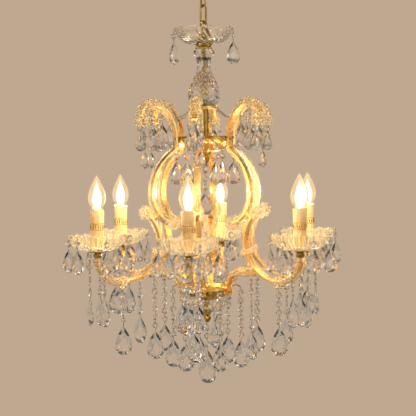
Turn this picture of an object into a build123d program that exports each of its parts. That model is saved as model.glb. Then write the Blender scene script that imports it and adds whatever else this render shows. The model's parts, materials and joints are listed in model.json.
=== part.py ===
"""Six-light candelabra chandelier: gilt bars clad in glass, hung on a chain, with bead strings and drops.

Millimetres, +Z up. The origin is the centre of the ceiling face, so the whole light hangs below z = 0.
The first arm points along -Y and the others follow every 60 degrees.
"""
import os
from math import cos, pi, radians, sin

from build123d import *

# Layout
ARM_COUNT = 6
ARM_RADIUS = 227.0
FIT = 0.1
GAP = 0.3

# Ceiling fixing
CANOPY_RADIUS = 56.0
CANOPY_HEIGHT = 40.0
CANOPY_WALL = 1.5
STRAP_LENGTH = 96.0
STRAP_WIDTH = 18.0
STRAP_THICK = 2.5
STRAP_STANDOFF = 9.0
STRAP_RISE_LENGTH = 50.0
STRAP_HOLE_SPACING = 76.0
STRAP_HOLE_RADIUS = 2.5
STUD_RADIUS = 5.0
NUT_RADIUS = 8.0
NUT_HEIGHT = 5.0
TERMINAL_SIZE = (24.0, 12.0, 10.0)

# Chain of oval wire links
LINK_COUNT = 4
LINK_LENGTH = 40.0
LINK_WIDTH = 17.0
LINK_WIRE = 4.0
LINK_TURN = 45.0
LOOP_WIDTH = 22.0
LOOP_NECK_RADIUS = 8.0
LOOP_NECK_HEIGHT = 13.0

# Central stem and what is threaded on it
STEM_RADIUS = 5.0
STEM_BORE = 3.0
DISH_RADIUS = 58.0
DISH_HEIGHT = 30.0
DISH_WALL = 3.5
DISH_FLOOR = 18.0
LOOP_FOOT_RADIUS = 11.0
LOOP_FOOT_HEIGHT = 24.0
COLLAR_RADIUS = 18.0
COLLAR_HEIGHT = 10.0
BALUSTER_LENGTH = 114.0
BALUSTER_RADIUS = 33.0
BALUSTER_NECK = 14.0
BALUSTER_LIP = 22.0
BALUSTER_BORE = 8.0
RING_RADIUS = 26.0
RING_HEIGHT = 5.0
SPACER_RADIUS = 8.0
SPACER_LENGTH = 55.0
PLATE_THICK = 4.0
PLATE_SKIRT = 12.0
PLATE_SKIRT_WALL = 4.5
BOWL_DEPTH = 26.0
BOWL_WALL = 1.6
BOWL_FOOT = 20.0
FINIAL_RADIUS = 12.0
FINIAL_LENGTH = 26.0

# Gilt flat bars
STRIP_WIDTH = 12.0
STRIP_THICK = 3.0
EYE_RADIUS = 5.0
EYE_BORE = 2.0
WAIST_RADIUS = 61.0
WAIST_LENGTH = 12.0
CROWN_BENDS = ((72.0, 54.0), (32.0, 36.0), (24.0, 100.0))
CAGE_SHOULDER = (25.0, 54.0)
CAGE_BULGE = (100.0, 54.0)
CAGE_FOOT = (62.0, 70.0)
ARM_OUTER_TURNS = (97.0, 46.0)
ARM_INNER_BENDS = ((74.5, 39.0), (71.0, 48.0))
ARM_TIE_ANGLE = -38.2
ROOT_RADIUS = 54.0
ROOT_LENGTH = 15.0
ROOT_BEND = (30.0, 72.0)
ROOT_JOINS_ARM_AT = 0.47
ARM_DROP = 235.0
HUB_DROP = 298.0
ROOT_START = 18.0
TIE_RADIUS = 4.0
SCREW_RADIUS = 1.5
SCREW_LENGTH = 7.0
SCREW_HEAD_RADIUS = 2.8
SCREW_HEAD_HEIGHT = 2.0

# Glass on the bars
SHELL_WIDTH = 13.0
SHELL_HEIGHT = 7.0
SHELL_FIT = 0.2
SHELL_END = 8.0
ROSETTE_RADIUS = 13.0
ROSETTE_DEPTH = 5.0
ROSETTE_PETALS = 8
COLLAR_RING_LENGTH = 8.0
COLLAR_RING_WALL = 4.5
UPPER_COLLAR_AT = 0.55
LOWER_COLLAR_AT = 0.93

# Lights
CUP_FOOT_RADIUS = 6.5
CUP_HEIGHT = 14.0
SAUCER_RADIUS = 18.0
SAUCER_THICK = 2.0
SAUCER_LIP = 5.0
NIPPLE_RADIUS = 5.0
NIPPLE_LENGTH = 22.0
BOBECHE_RADIUS = 56.0
BOBECHE_HEIGHT = 29.0
BOBECHE_WALL = 3.5
BOBECHE_FLOOR = 20.0
SLEEVE_RADIUS = 14.0
SLEEVE_WALL = 1.2
SLEEVE_LENGTH = 78.0
HOLDER_RADIUS = 12.0
HOLDER_LENGTH = 60.0
BULB_RADIUS = 17.5
BULB_LENGTH = 66.0
BULB_CAP_RADIUS = 7.0
BULB_CAP_LENGTH = 22.0
BULB_NECK_RADIUS = 9.0

# Lower hub
HUB_HEIGHT = 28.0
HUB_WALL = 3.0
HUB_PRONG_REACH = 70.0
HUB_PRONG_SIZE = 3.0
HUB_BOWL_RADIUS = 48.0
HUB_BOWL_DEPTH = 24.0
HUB_BOWL_WALL = 3.5
HUB_BOWL_FLOOR = 14.0
HUB_ROD_RADIUS = 4.0
HUB_FINIAL_RADIUS = 11.0
HUB_FINIAL_LENGTH = 22.0

# Crystals: drop sizes are length and width, and every crystal is as flat as the next
BEAD_LENGTH = 13.0
BEAD_WIDTH = 13.0
PIN_LENGTH = 4.0
PIN_WIDTH = 1.6
CRYSTAL_FLATNESS = 0.45
LARGE_DROP = (56.0, 34.0)
MEDIUM_DROP = (46.0, 28.0)
LOWEST_DROP = (68.0, 38.0)
DISH_DROP_ANGLES = (8.0, 188.0)
BOBECHE_DROP_COUNT = 6
GARLAND_BEAD_COUNT = 2
ARM_BEAD_COUNT = 4
SAUCER_BEAD_COUNT = 5
ROOT_BEAD_COUNT = 6
HUB_BEAD_COUNT = 6
STEM_BEAD_COUNT = 3
BOTTOM_BEAD_COUNT = 3


def vec(radius, z):
    """Point in the plane of an arm that lies along +X."""
    return Vector(radius, 0, z)


def turned(*edges):
    """Solid of revolution about Z of a closed profile drawn with edges in the XZ plane."""
    return revolve(make_face(Wire(edges)), Axis.Z)


def turned_points(*points):
    """Solid of revolution about Z of a straight-sided profile given as (radius, z) points."""
    return turned(*Polyline(*[vec(r, z) for r, z in points], close=True).edges())


def tube(outer, inner, top, length):
    return turned_points((inner, top), (outer, top), (outer, top - length), (inner, top - length))


def round_array(shape, count=ARM_COUNT, first=-90.0):
    """Copies of a shape drawn at azimuth zero, turned evenly about Z."""
    return [Rot(0, 0, first + 360.0 / count * k) * shape for k in range(count)]


def solids_of(shapes):
    """All solids of a list of shapes, flat."""
    return [solid for shape in shapes for solid in shape.solids()]


def save(name, *shapes):
    found = solids_of(shapes)
    part = found[0] if len(found) == 1 else Compound(children=found)
    export_step(part, f"parts/{name}.step")
    print(f"{name}: {len(found)} solids")


# Heights, worked down from the ceiling
LINK_PITCH = LINK_LENGTH - 2 * LINK_WIRE - GAP
CEILING_RING_Z = -CANOPY_HEIGHT - LOOP_NECK_HEIGHT - (LOOP_WIDTH - LINK_WIRE) / 2
CHAIN_TOP_Z = CEILING_RING_Z - (LOOP_WIDTH - LINK_WIRE) / 2
CHAIN_END_Z = CHAIN_TOP_Z - LINK_COUNT * LINK_PITCH
LOOP_Z = CHAIN_END_Z + LINK_WIRE + GAP - (LOOP_WIDTH - LINK_WIRE) / 2
LOOP_FOOT_Z = LOOP_Z - LOOP_WIDTH / 2 + LINK_WIRE / 2
DISH_FLOOR_Z = LOOP_FOOT_Z - LOOP_FOOT_HEIGHT
DISH_Z = DISH_FLOOR_Z - DISH_WALL
BALUSTER_Z = DISH_Z - COLLAR_HEIGHT
RING_Z = BALUSTER_Z - BALUSTER_LENGTH
SPACER_Z = RING_Z - RING_HEIGHT
PLATE_Z = SPACER_Z - SPACER_LENGTH
BOWL_Z = PLATE_Z - PLATE_THICK
FINIAL_Z = BOWL_Z - BOWL_DEPTH
STRING_Z = FINIAL_Z - FINIAL_LENGTH
WAIST_Z = PLATE_Z
CUP_Z = PLATE_Z - ARM_DROP
SAUCER_Z = CUP_Z + CUP_HEIGHT
BOBECHE_FLOOR_Z = SAUCER_Z + BOBECHE_WALL
HUB_Z = PLATE_Z - HUB_DROP
HUB_FLOOR_Z = HUB_Z - HUB_HEIGHT
HUB_BOWL_Z = HUB_FLOOR_Z - HUB_BOWL_DEPTH
BOTTOM_Z = HUB_BOWL_Z - HUB_FINIAL_LENGTH
CLAD_HALF = STRIP_THICK / 2 + SHELL_FIT + SHELL_HEIGHT
COLLAR_RING_HOLE = CLAD_HALF + GAP


# Ceiling fixing and chain


def wire_loop(length, width, wire):
    """Stadium-shaped ring of round wire in the XZ plane, centred on the origin."""
    bend = (width - wire) / 2
    half = (length - width) / 2
    path = Wire(
        [
            Line((bend, 0, -half), (bend, 0, half)),
            ThreePointArc((bend, 0, half), (0, 0, half + bend), (-bend, 0, half)),
            Line((-bend, 0, half), (-bend, 0, -half)),
            ThreePointArc((-bend, 0, -half), (0, 0, -half - bend), (bend, 0, -half)),
        ]
    )
    return sweep(Plane(path @ 0, z_dir=path % 0) * Circle(wire / 2), path=path)


def wire_ring(quarter_turns):
    """Round loop of the chain's wire, upright, facing the way a link of that number would face."""
    ring = Rot(90, 0, 0) * Torus((LOOP_WIDTH - LINK_WIRE) / 2, LINK_WIRE / 2)
    return Rot(0, 0, LINK_TURN + 90 * quarter_turns) * ring


def chain_link(number):
    """One link, turned a quarter turn from its neighbours and hung on the wire above it."""
    centre = CHAIN_TOP_Z - number * LINK_PITCH + (LINK_LENGTH - LINK_WIRE) / 2
    link = wire_loop(LINK_LENGTH, LINK_WIDTH, LINK_WIRE)
    return Pos(0, 0, centre) * Rot(0, 0, LINK_TURN + 90 * number) * link


def ceiling_strap():
    """Hat-shaped steel strap: its feet lie on the ceiling, its middle stands off for the nut."""
    outline = [
        (STRAP_LENGTH / 2, 0),
        (STRAP_RISE_LENGTH / 2, 0),
        (STRAP_RISE_LENGTH / 2, -STRAP_STANDOFF),
        (-STRAP_RISE_LENGTH / 2, -STRAP_STANDOFF),
        (-STRAP_RISE_LENGTH / 2, 0),
        (-STRAP_LENGTH / 2, 0),
    ]
    inner = [
        (-STRAP_LENGTH / 2, -STRAP_THICK),
        (-STRAP_RISE_LENGTH / 2 - STRAP_THICK, -STRAP_THICK),
        (-STRAP_RISE_LENGTH / 2 - STRAP_THICK, -STRAP_STANDOFF - STRAP_THICK),
        (STRAP_RISE_LENGTH / 2 + STRAP_THICK, -STRAP_STANDOFF - STRAP_THICK),
        (STRAP_RISE_LENGTH / 2 + STRAP_THICK, -STRAP_THICK),
        (STRAP_LENGTH / 2, -STRAP_THICK),
    ]
    face = make_face(Polyline(*[vec(x, z) for x, z in outline + inner], close=True))
    strap = extrude(face, STRAP_WIDTH / 2, dir=(0, 1, 0), both=True)
    for side in (-1, 1):
        strap -= Pos(side * STRAP_HOLE_SPACING / 2, 0, 0) * Cylinder(STRAP_HOLE_RADIUS, 4 * STRAP_THICK)
    return strap - Pos(0, 0, -STRAP_STANDOFF) * Cylinder(STUD_RADIUS + FIT, 4 * STRAP_THICK)


def dome_middle(radius, shoulder, depth):
    """Point on the round side of a dome that leaves the ceiling straight down and ends at its shoulder."""
    centre = (radius**2 - shoulder**2 - depth**2) / (2 * (radius - shoulder))
    return vec(centre + (radius - centre) * cos(pi / 4), -(radius - centre) * sin(pi / 4))


def ceiling_canopy():
    """Domed brass cover, open at the ceiling, with a hole for the loop's stud."""
    inside = CANOPY_RADIUS - CANOPY_WALL
    floor = -CANOPY_HEIGHT
    hole = STUD_RADIUS + FIT
    shoulder = LOOP_NECK_RADIUS + 2 * CANOPY_WALL
    outer_mid = dome_middle(CANOPY_RADIUS, shoulder, CANOPY_HEIGHT)
    inner_mid = dome_middle(inside, shoulder, CANOPY_HEIGHT - CANOPY_WALL)
    return turned(
        Line(vec(inside, 0), vec(CANOPY_RADIUS, 0)),
        ThreePointArc(vec(CANOPY_RADIUS, 0), outer_mid, vec(shoulder, floor)),
        Line(vec(shoulder, floor), vec(hole, floor)),
        Line(vec(hole, floor), vec(hole, floor + CANOPY_WALL)),
        Line(vec(hole, floor + CANOPY_WALL), vec(shoulder, floor + CANOPY_WALL)),
        ThreePointArc(vec(shoulder, floor + CANOPY_WALL), inner_mid, vec(inside, 0)),
    )


def ceiling_loop():
    """Threaded stud with its nut on the strap, its neck under the canopy and the ring for the chain."""
    nut_top = -STRAP_STANDOFF + NUT_HEIGHT
    neck_end = CEILING_RING_Z + (LOOP_WIDTH - LINK_WIRE) / 2
    body = turned_points(
        (0, nut_top),
        (NUT_RADIUS, nut_top),
        (NUT_RADIUS, -STRAP_STANDOFF),
        (STUD_RADIUS, -STRAP_STANDOFF),
        (STUD_RADIUS, -CANOPY_HEIGHT),
        (LOOP_NECK_RADIUS, -CANOPY_HEIGHT),
        (LOOP_NECK_RADIUS * 0.7, neck_end),
        (0, neck_end),
    )
    return body + Pos(0, 0, CEILING_RING_Z) * wire_ring(0)


def terminal_block():
    """Small block that joins the supply to the arm wires, clipped on the strap inside the canopy."""
    length, width, height = TERMINAL_SIZE
    top = -STRAP_STANDOFF - STRAP_THICK
    return Pos(0, NUT_RADIUS + width / 2, top - height / 2) * Box(length, width, height)


# Stem


def dish(radius, height, wall, floor, hole, bottom):
    """Open glass dish with a flat floor, a curved side and a level rim."""
    top = bottom + height
    outer_mid = vec(floor + 0.62 * (radius - floor), bottom + 0.32 * height)
    inner_mid = vec(floor + 0.62 * (radius - floor) - 0.7 * wall, bottom + 0.32 * height + 0.9 * wall)
    inner_floor = floor - 0.3 * wall
    return turned(
        Line(vec(hole, bottom), vec(floor, bottom)),
        ThreePointArc(vec(floor, bottom), outer_mid, vec(radius, top)),
        Line(vec(radius, top), vec(radius - wall, top)),
        ThreePointArc(vec(radius - wall, top), inner_mid, vec(inner_floor, bottom + wall)),
        Line(vec(inner_floor, bottom + wall), vec(hole, bottom + wall)),
        Line(vec(hole, bottom + wall), vec(hole, bottom)),
    )


def hanging_loop():
    """Ring that hangs in the last link, on a foot that screws on the stem and rests on the dish."""
    foot = turned_points(
        (0, LOOP_FOOT_Z),
        (LOOP_NECK_RADIUS * 0.6, LOOP_FOOT_Z),
        (LOOP_NECK_RADIUS, LOOP_FOOT_Z - LOOP_FOOT_HEIGHT / 3),
        (LOOP_FOOT_RADIUS, DISH_FLOOR_Z),
        (STEM_RADIUS + FIT, DISH_FLOOR_Z),
        (STEM_RADIUS + FIT, DISH_FLOOR_Z + LOOP_FOOT_HEIGHT / 2),
        (0, DISH_FLOOR_Z + LOOP_FOOT_HEIGHT / 2),
    )
    return foot + Pos(0, 0, LOOP_Z) * wire_ring(LINK_COUNT + 1)


def stem_tube():
    top = DISH_FLOOR_Z + LOOP_FOOT_HEIGHT / 2
    return tube(STEM_RADIUS, STEM_BORE, top, top - FINIAL_Z + FINIAL_LENGTH / 2)


def dish_collar():
    """Turned brass collar that carries the top dish and caps the baluster."""
    bore = STEM_RADIUS + FIT
    return turned_points(
        (bore, DISH_Z),
        (COLLAR_RADIUS, DISH_Z),
        (COLLAR_RADIUS * 0.8, DISH_Z - COLLAR_HEIGHT * 0.45),
        (COLLAR_RADIUS, BALUSTER_Z),
        (bore, BALUSTER_Z),
    )


def glass_baluster():
    """Vase-shaped cut-glass column: a lip bulge, a narrow neck, a round body and a drawn-in foot."""
    outline = [
        (BALUSTER_LIP * 0.78, 0.0),
        (BALUSTER_LIP, 0.07),
        (BALUSTER_NECK * 1.15, 0.16),
        (BALUSTER_NECK, 0.27),
        (BALUSTER_NECK * 1.15, 0.4),
        (BALUSTER_RADIUS * 0.76, 0.58),
        (BALUSTER_RADIUS, 0.8),
        (BALUSTER_RADIUS * 0.84, 0.94),
        (BALUSTER_RADIUS * 0.6, 1.0),
    ]
    side = Spline(*[vec(r, BALUSTER_Z - BALUSTER_LENGTH * share) for r, share in outline])
    return turned(
        side,
        Line(side @ 1, vec(BALUSTER_BORE, RING_Z)),
        Line(vec(BALUSTER_BORE, RING_Z), vec(BALUSTER_BORE, BALUSTER_Z)),
        Line(vec(BALUSTER_BORE, BALUSTER_Z), side @ 0),
    )


def upper_plate():
    """Round plate with a skirt that the six bar frames are screwed to."""
    radius = WAIST_RADIUS - STRIP_THICK / 2 - FIT
    skirt = radius - PLATE_SKIRT_WALL
    plate = turned_points(
        (STEM_RADIUS + FIT, PLATE_Z),
        (radius, PLATE_Z),
        (radius, PLATE_Z - PLATE_SKIRT),
        (skirt, PLATE_Z - PLATE_SKIRT),
        (skirt, BOWL_Z),
        (STEM_RADIUS + FIT, BOWL_Z),
    )
    for hole in round_array(screw_hole(WAIST_RADIUS, WAIST_Z - WAIST_LENGTH / 2)):
        plate -= hole
    return plate


def upper_bowl():
    radius = WAIST_RADIUS - STRIP_THICK / 2 - FIT - PLATE_SKIRT_WALL - GAP
    return dish(radius, BOWL_DEPTH, BOWL_WALL, BOWL_FOOT, STEM_RADIUS + FIT, FINIAL_Z)


def stem_finial():
    """Turned nut that closes the stem under the bowl and carries the string in the cage."""
    bore = STEM_RADIUS + FIT
    return turned_points(
        (bore, FINIAL_Z),
        (FINIAL_RADIUS, FINIAL_Z),
        (FINIAL_RADIUS, FINIAL_Z - FINIAL_LENGTH * 0.2),
        (FINIAL_RADIUS * 0.55, FINIAL_Z - FINIAL_LENGTH * 0.35),
        (FINIAL_RADIUS * 0.75, FINIAL_Z - FINIAL_LENGTH * 0.6),
        (FINIAL_RADIUS * 0.3, STRING_Z),
        (0, STRING_Z),
        (0, FINIAL_Z - FINIAL_LENGTH / 2),
        (bore, FINIAL_Z - FINIAL_LENGTH / 2),
    )


# Bars


def bent(start, heading, bends):
    """Tangent arcs in the plane of an arm. Each bend is a radius and a turn, positive to the left."""
    edges = []
    for radius, turn in bends:
        arc = JernArc(start, Vector(1, 0).rotate(Axis.Z, heading), radius, turn)
        edges.append(arc)
        start = arc @ 1
        heading += turn
    return [Plane.XZ * edge for edge in edges]


def crown_edges():
    """From the waist up, over the top and down to the crown's outer tip."""
    return bent((WAIST_RADIUS, WAIST_Z), 90, [(radius, -turn) for radius, turn in CROWN_BENDS])


def cage_edges():
    """From the waist down, out round the cage and in again to its foot."""
    (shoulder, out), (bulge, back), (foot, under) = CAGE_SHOULDER, CAGE_BULGE, CAGE_FOOT
    bends = [(shoulder, out), (bulge, -back), (foot, -under)]
    return bent((WAIST_RADIUS, WAIST_Z - WAIST_LENGTH), -90, bends)


def left_of(heading):
    """Unit vector to the left of a heading in the plane of an arm."""
    return vec(-sin(radians(heading)), cos(radians(heading)))


def arm_knee():
    """Where the arm's inner two bends begin, so that the last lies glass to glass on the cage's foot."""
    (knee_radius, knee_turn), (last_radius, _) = ARM_INNER_BENDS
    knee_heading = -90 - sum(ARM_OUTER_TURNS)
    reach = CAGE_FOOT[0] + last_radius + 2 * CLAD_HALF + GAP
    tie = radians(ARM_TIE_ANGLE)
    last_centre = cage_edges()[2].arc_center + vec(cos(tie), sin(tie)) * reach
    last_start = last_centre + left_of(knee_heading - knee_turn) * last_radius
    return last_start + (left_of(knee_heading) - left_of(knee_heading - knee_turn)) * knee_radius


def arm_bends():
    """Bends of the arm, from the cup in: the outer two take the radii that carry the bar to the knee."""
    first, second = (radians(turn) for turn in ARM_OUTER_TURNS)
    both = first + second
    across = arm_knee().X - ARM_RADIUS
    down = arm_knee().Z - CUP_Z
    first_across, first_down = cos(first) - 1, -sin(first)
    second_across, second_down = cos(both) - cos(first), sin(first) - sin(both)
    scale = first_across * second_down - first_down * second_across
    radii = (
        (across * second_down - down * second_across) / scale,
        (first_across * down - first_down * across) / scale,
    )
    return list(zip(radii, ARM_OUTER_TURNS)) + list(ARM_INNER_BENDS)


def arm_edges():
    """From the candle cup down, in under the arm, and up to the arm's free inner end."""
    return bent((ARM_RADIUS, CUP_Z), -90, [(radius, -turn) for radius, turn in arm_bends()])


def root_edges():
    """From the hub up and out to the arm bar."""
    start = vec(ROOT_RADIUS, HUB_Z - ROOT_START)
    top = vec(ROOT_RADIUS, HUB_Z - ROOT_START + ROOT_LENGTH)
    bend = bent((top.X, top.Z), 90, [(ROOT_BEND[0], -ROOT_BEND[1])])[0]
    meet = arm_edges()[1] @ ROOT_JOINS_ARM_AT
    return [Line(start, top), bend, TangentArc(bend @ 1, meet, tangent=bend % 1)]


def section_plane(path):
    """Plane across the start of a path: local x along the bar's width, local y to the left of the path."""
    return Plane(path @ 0, x_dir=(0, 1, 0), z_dir=path % 0)


def strip(edges):
    """Flat gilt bar along a path."""
    path = Wire(edges)
    return sweep(section_plane(path) * Rectangle(STRIP_WIDTH, STRIP_THICK), path=path)


def eye(edge):
    """Rolled end of a bar: a short barrel across the bar, with the rosette pin's bore."""
    centre = edge @ 1 + (edge % 1) * (EYE_RADIUS - STRIP_THICK / 2)
    barrel = Cylinder(EYE_RADIUS, SHELL_WIDTH) - Cylinder(EYE_BORE, SHELL_WIDTH)
    return Pos(centre) * Rot(90, 0, 0) * barrel


def eye_bore(edge):
    centre = edge @ 1 + (edge % 1) * (EYE_RADIUS - STRIP_THICK / 2)
    return Pos(centre) * Rot(90, 0, 0) * Cylinder(EYE_BORE, 2 * SHELL_WIDTH)


def tie_ends():
    """Nearest points of the cage bar and the arm bar, where a short stud ties them."""
    return cage_edges()[2].closest_points(arm_edges()[3])


def tie_stud(radius):
    low, high = tie_ends()
    axis = Plane(low, z_dir=high - low)
    return extrude(axis * Circle(radius), (high - low).length)


def screw_hole(radius, z):
    return Pos(radius, 0, z) * Rot(0, 90, 0) * Cylinder(SCREW_RADIUS + FIT, 4 * SCREW_LENGTH)


def arm_frame():
    """One bar frame: cage bar with its crown, arm bar and root bar, tied to one another."""
    crown, cage, arm, root = crown_edges(), cage_edges(), arm_edges(), root_edges()
    waist = Line(vec(WAIST_RADIUS, WAIST_Z), vec(WAIST_RADIUS, WAIST_Z - WAIST_LENGTH))
    frame = strip(crown) + strip([waist] + cage) + strip(arm) + strip(root) + tie_stud(TIE_RADIUS)
    for edge in (crown[2], cage[2], arm[3]):
        frame += eye(edge)
        frame -= eye_bore(edge)
    frame -= screw_hole(WAIST_RADIUS, WAIST_Z - WAIST_LENGTH / 2)
    return frame - screw_hole(ROOT_RADIUS, HUB_Z - ROOT_START + ROOT_LENGTH / 2)


def frame_screw(radius, z):
    """Screw through a bar's foot: the head lies on the bar's outer face."""
    face = radius + STRIP_THICK / 2
    shank = Pos(face - SCREW_LENGTH / 2, 0, z) * Rot(0, 90, 0) * Cylinder(SCREW_RADIUS, SCREW_LENGTH)
    head = Cylinder(SCREW_HEAD_RADIUS, SCREW_HEAD_HEIGHT)
    return shank + Pos(face + SCREW_HEAD_HEIGHT / 2, 0, z) * Rot(0, 90, 0) * head


def rosette_pin(edge):
    centre = edge @ 1 + (edge % 1) * (EYE_RADIUS - STRIP_THICK / 2)
    length = SHELL_WIDTH + 2 * GAP + 2 * ROSETTE_DEPTH
    return Pos(centre) * Rot(90, 0, 0) * Cylinder(EYE_BORE - FIT, length)


# Glass on the bars


def stretch(edges, from_start, from_end):
    """Path along the edges, cut short by a length at each end."""
    path = Wire(edges)
    return path.trim(from_start / path.length, 1 - from_end / path.length)


def shell(path, side):
    """Half-round glass moulding that lies on one face of a bar: side 1 is left of the path."""
    flat = side * (STRIP_THICK / 2 + SHELL_FIT)
    crest = side * CLAD_HALF
    half = SHELL_WIDTH / 2
    outline = [Line((-half, flat), (half, flat)), ThreePointArc((half, flat), (0, crest), (-half, flat))]
    return sweep(section_plane(path) * make_face(outline), path=path)


def cage_shells():
    """Glass on both faces of the crown and of the cage bar."""
    crown = stretch(crown_edges(), SHELL_END, SHELL_END)
    cage = stretch(cage_edges(), SHELL_END, SHELL_END)
    shells = [shell(crown, 1), shell(crown, -1), shell(cage, -1)]
    return shells + [shell(cage, 1) - tie_stud(TIE_RADIUS + GAP)]


def arm_shells():
    """Glass on the arm bar and the root bar. The arm's lower face is bare where the root bar joins it."""
    arm, root = arm_edges(), root_edges()
    inner_end = shell(stretch(arm[2:], SHELL_END / 2, SHELL_END), 1) - tie_stud(TIE_RADIUS + GAP)
    return [
        shell(stretch(arm, SHELL_END, SHELL_END), -1),
        shell(stretch(arm[:1], SHELL_END, GAP), 1),
        inner_end,
        shell(stretch(root[1:], SHELL_END, root[2].length * 0.6), 1),
        shell(stretch(root[1:], GAP, root[2].length * 0.3), -1),
    ]


def petal_outline(radius, petals):
    """Scalloped polygon with a crest and a hollow for each petal."""
    points = []
    for k in range(4 * petals):
        reach = radius * (1.0, 0.96, 0.84, 0.96)[k % 4]
        points.append((reach * cos(pi * k / (2 * petals)), reach * sin(pi * k / (2 * petals))))
    return make_face(Polyline(*points, close=True))


def rosette(edge, side):
    """Glass flower on one side of a bar's eye."""
    centre = edge @ 1 + (edge % 1) * (EYE_RADIUS - STRIP_THICK / 2)
    inner = SHELL_WIDTH / 2 + GAP
    flower = extrude(petal_outline(ROSETTE_RADIUS, ROSETTE_PETALS) - Circle(EYE_BORE), ROSETTE_DEPTH)
    return Pos(centre) * Rot(-90 * side, 0, 0) * Pos(0, 0, inner) * flower


def collar_ring(edge, share):
    """Scalloped glass collar round an arm bar and its two shells."""
    plane = Plane(edge @ share, x_dir=(0, 1, 0), z_dir=edge % share)
    hole = Rectangle(SHELL_WIDTH + 2 * GAP, 2 * COLLAR_RING_HOLE)
    outline = petal_outline(COLLAR_RING_HOLE + COLLAR_RING_WALL, ROSETTE_PETALS) - hole
    return extrude(plane * outline, COLLAR_RING_LENGTH / 2, both=True)


def arm_rosettes():
    crown, cage, arm = crown_edges(), cage_edges(), arm_edges()
    flowers = [rosette(edge, side) for edge in (crown[2], cage[2], arm[3]) for side in (-1, 1)]
    return flowers + [collar_ring(arm[2], UPPER_COLLAR_AT), collar_ring(arm[0], LOWER_COLLAR_AT)]


# Lights


def candle_cup():
    """Turned brass cup on the arm's end: foot, saucer and the nipple that holds what stands on it."""
    return turned_points(
        (0, CUP_Z),
        (CUP_FOOT_RADIUS, CUP_Z),
        (CUP_FOOT_RADIUS * 1.3, CUP_Z + CUP_HEIGHT * 0.35),
        (CUP_FOOT_RADIUS * 1.05, CUP_Z + CUP_HEIGHT * 0.6),
        (SAUCER_RADIUS - SAUCER_LIP, SAUCER_Z - SAUCER_THICK),
        (SAUCER_RADIUS, SAUCER_Z - SAUCER_THICK),
        (SAUCER_RADIUS, SAUCER_Z),
        (NIPPLE_RADIUS, SAUCER_Z),
        (NIPPLE_RADIUS, SAUCER_Z + NIPPLE_LENGTH),
        (0, SAUCER_Z + NIPPLE_LENGTH),
    )


def bobeche():
    return dish(BOBECHE_RADIUS, BOBECHE_HEIGHT, BOBECHE_WALL, BOBECHE_FLOOR, NIPPLE_RADIUS + FIT, SAUCER_Z)


def lampholder():
    """Screw-in holder on the nipple: the lower bore takes the nipple, the upper one the bulb's cap."""
    low = BOBECHE_FLOOR_Z
    high = low + HOLDER_LENGTH
    nipple_end = SAUCER_Z + NIPPLE_LENGTH + GAP
    cap_seat = high - BULB_CAP_LENGTH - GAP
    return turned_points(
        (NIPPLE_RADIUS + FIT, low),
        (HOLDER_RADIUS, low),
        (HOLDER_RADIUS, high),
        (BULB_CAP_RADIUS + FIT, high),
        (BULB_CAP_RADIUS + FIT, cap_seat),
        (0, cap_seat),
        (0, nipple_end),
        (NIPPLE_RADIUS + FIT, nipple_end),
    )


def candle_sleeve():
    return tube(SLEEVE_RADIUS, SLEEVE_RADIUS - SLEEVE_WALL, BOBECHE_FLOOR_Z + SLEEVE_LENGTH, SLEEVE_LENGTH)


def bulb():
    """Flame-shaped bulb: screw cap, neck inside the sleeve and the drawn-out glass."""
    seat = BOBECHE_FLOOR_Z + HOLDER_LENGTH + GAP
    sleeve_top = BOBECHE_FLOOR_Z + SLEEVE_LENGTH
    cap_end = seat - BULB_CAP_LENGTH
    outline = [
        (BULB_NECK_RADIUS, 0.0),
        (BULB_RADIUS * 0.86, 0.14),
        (BULB_RADIUS, 0.32),
        (BULB_RADIUS * 0.84, 0.56),
        (BULB_RADIUS * 0.48, 0.78),
        (BULB_RADIUS * 0.14, 0.95),
        (BULB_RADIUS * 0.04, 1.0),
    ]
    side = Spline(*[vec(r, sleeve_top + BULB_LENGTH * share) for r, share in outline])
    return turned(
        side,
        Line(side @ 1, vec(0, sleeve_top + BULB_LENGTH)),
        Line(vec(0, sleeve_top + BULB_LENGTH), vec(0, cap_end)),
        Line(vec(0, cap_end), vec(BULB_CAP_RADIUS, cap_end)),
        Line(vec(BULB_CAP_RADIUS, cap_end), vec(BULB_CAP_RADIUS, seat)),
        Line(vec(BULB_CAP_RADIUS, seat), vec(BULB_NECK_RADIUS, seat)),
        Line(vec(BULB_NECK_RADIUS, seat), side @ 0),
    )


# Lower hub


def lower_hub():
    """Gilt pan that the root bars are screwed to, with prongs for the strings between the arms."""
    radius = ROOT_RADIUS - STRIP_THICK / 2 - FIT
    hub = turned_points(
        (HUB_ROD_RADIUS + FIT, HUB_FLOOR_Z),
        (radius, HUB_FLOOR_Z),
        (radius, HUB_Z),
        (radius - HUB_WALL, HUB_Z),
        (radius - HUB_WALL, HUB_FLOOR_Z + HUB_WALL),
        (HUB_ROD_RADIUS + FIT, HUB_FLOOR_Z + HUB_WALL),
    )
    reach = HUB_PRONG_REACH - radius + HUB_WALL / 2
    centre = radius - HUB_WALL / 2 + reach / 2
    prong = Pos(centre, 0, HUB_Z - HUB_PRONG_SIZE / 2) * Box(reach, HUB_PRONG_SIZE, HUB_PRONG_SIZE)
    for piece in round_array(prong, first=-60.0):
        hub += piece
    for hole in round_array(screw_hole(ROOT_RADIUS, HUB_Z - ROOT_START + ROOT_LENGTH / 2)):
        hub -= hole
    return hub


def hub_bowl():
    hole = HUB_ROD_RADIUS + FIT
    return dish(HUB_BOWL_RADIUS, HUB_BOWL_DEPTH, HUB_BOWL_WALL, HUB_BOWL_FLOOR, hole, HUB_BOWL_Z)


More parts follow.
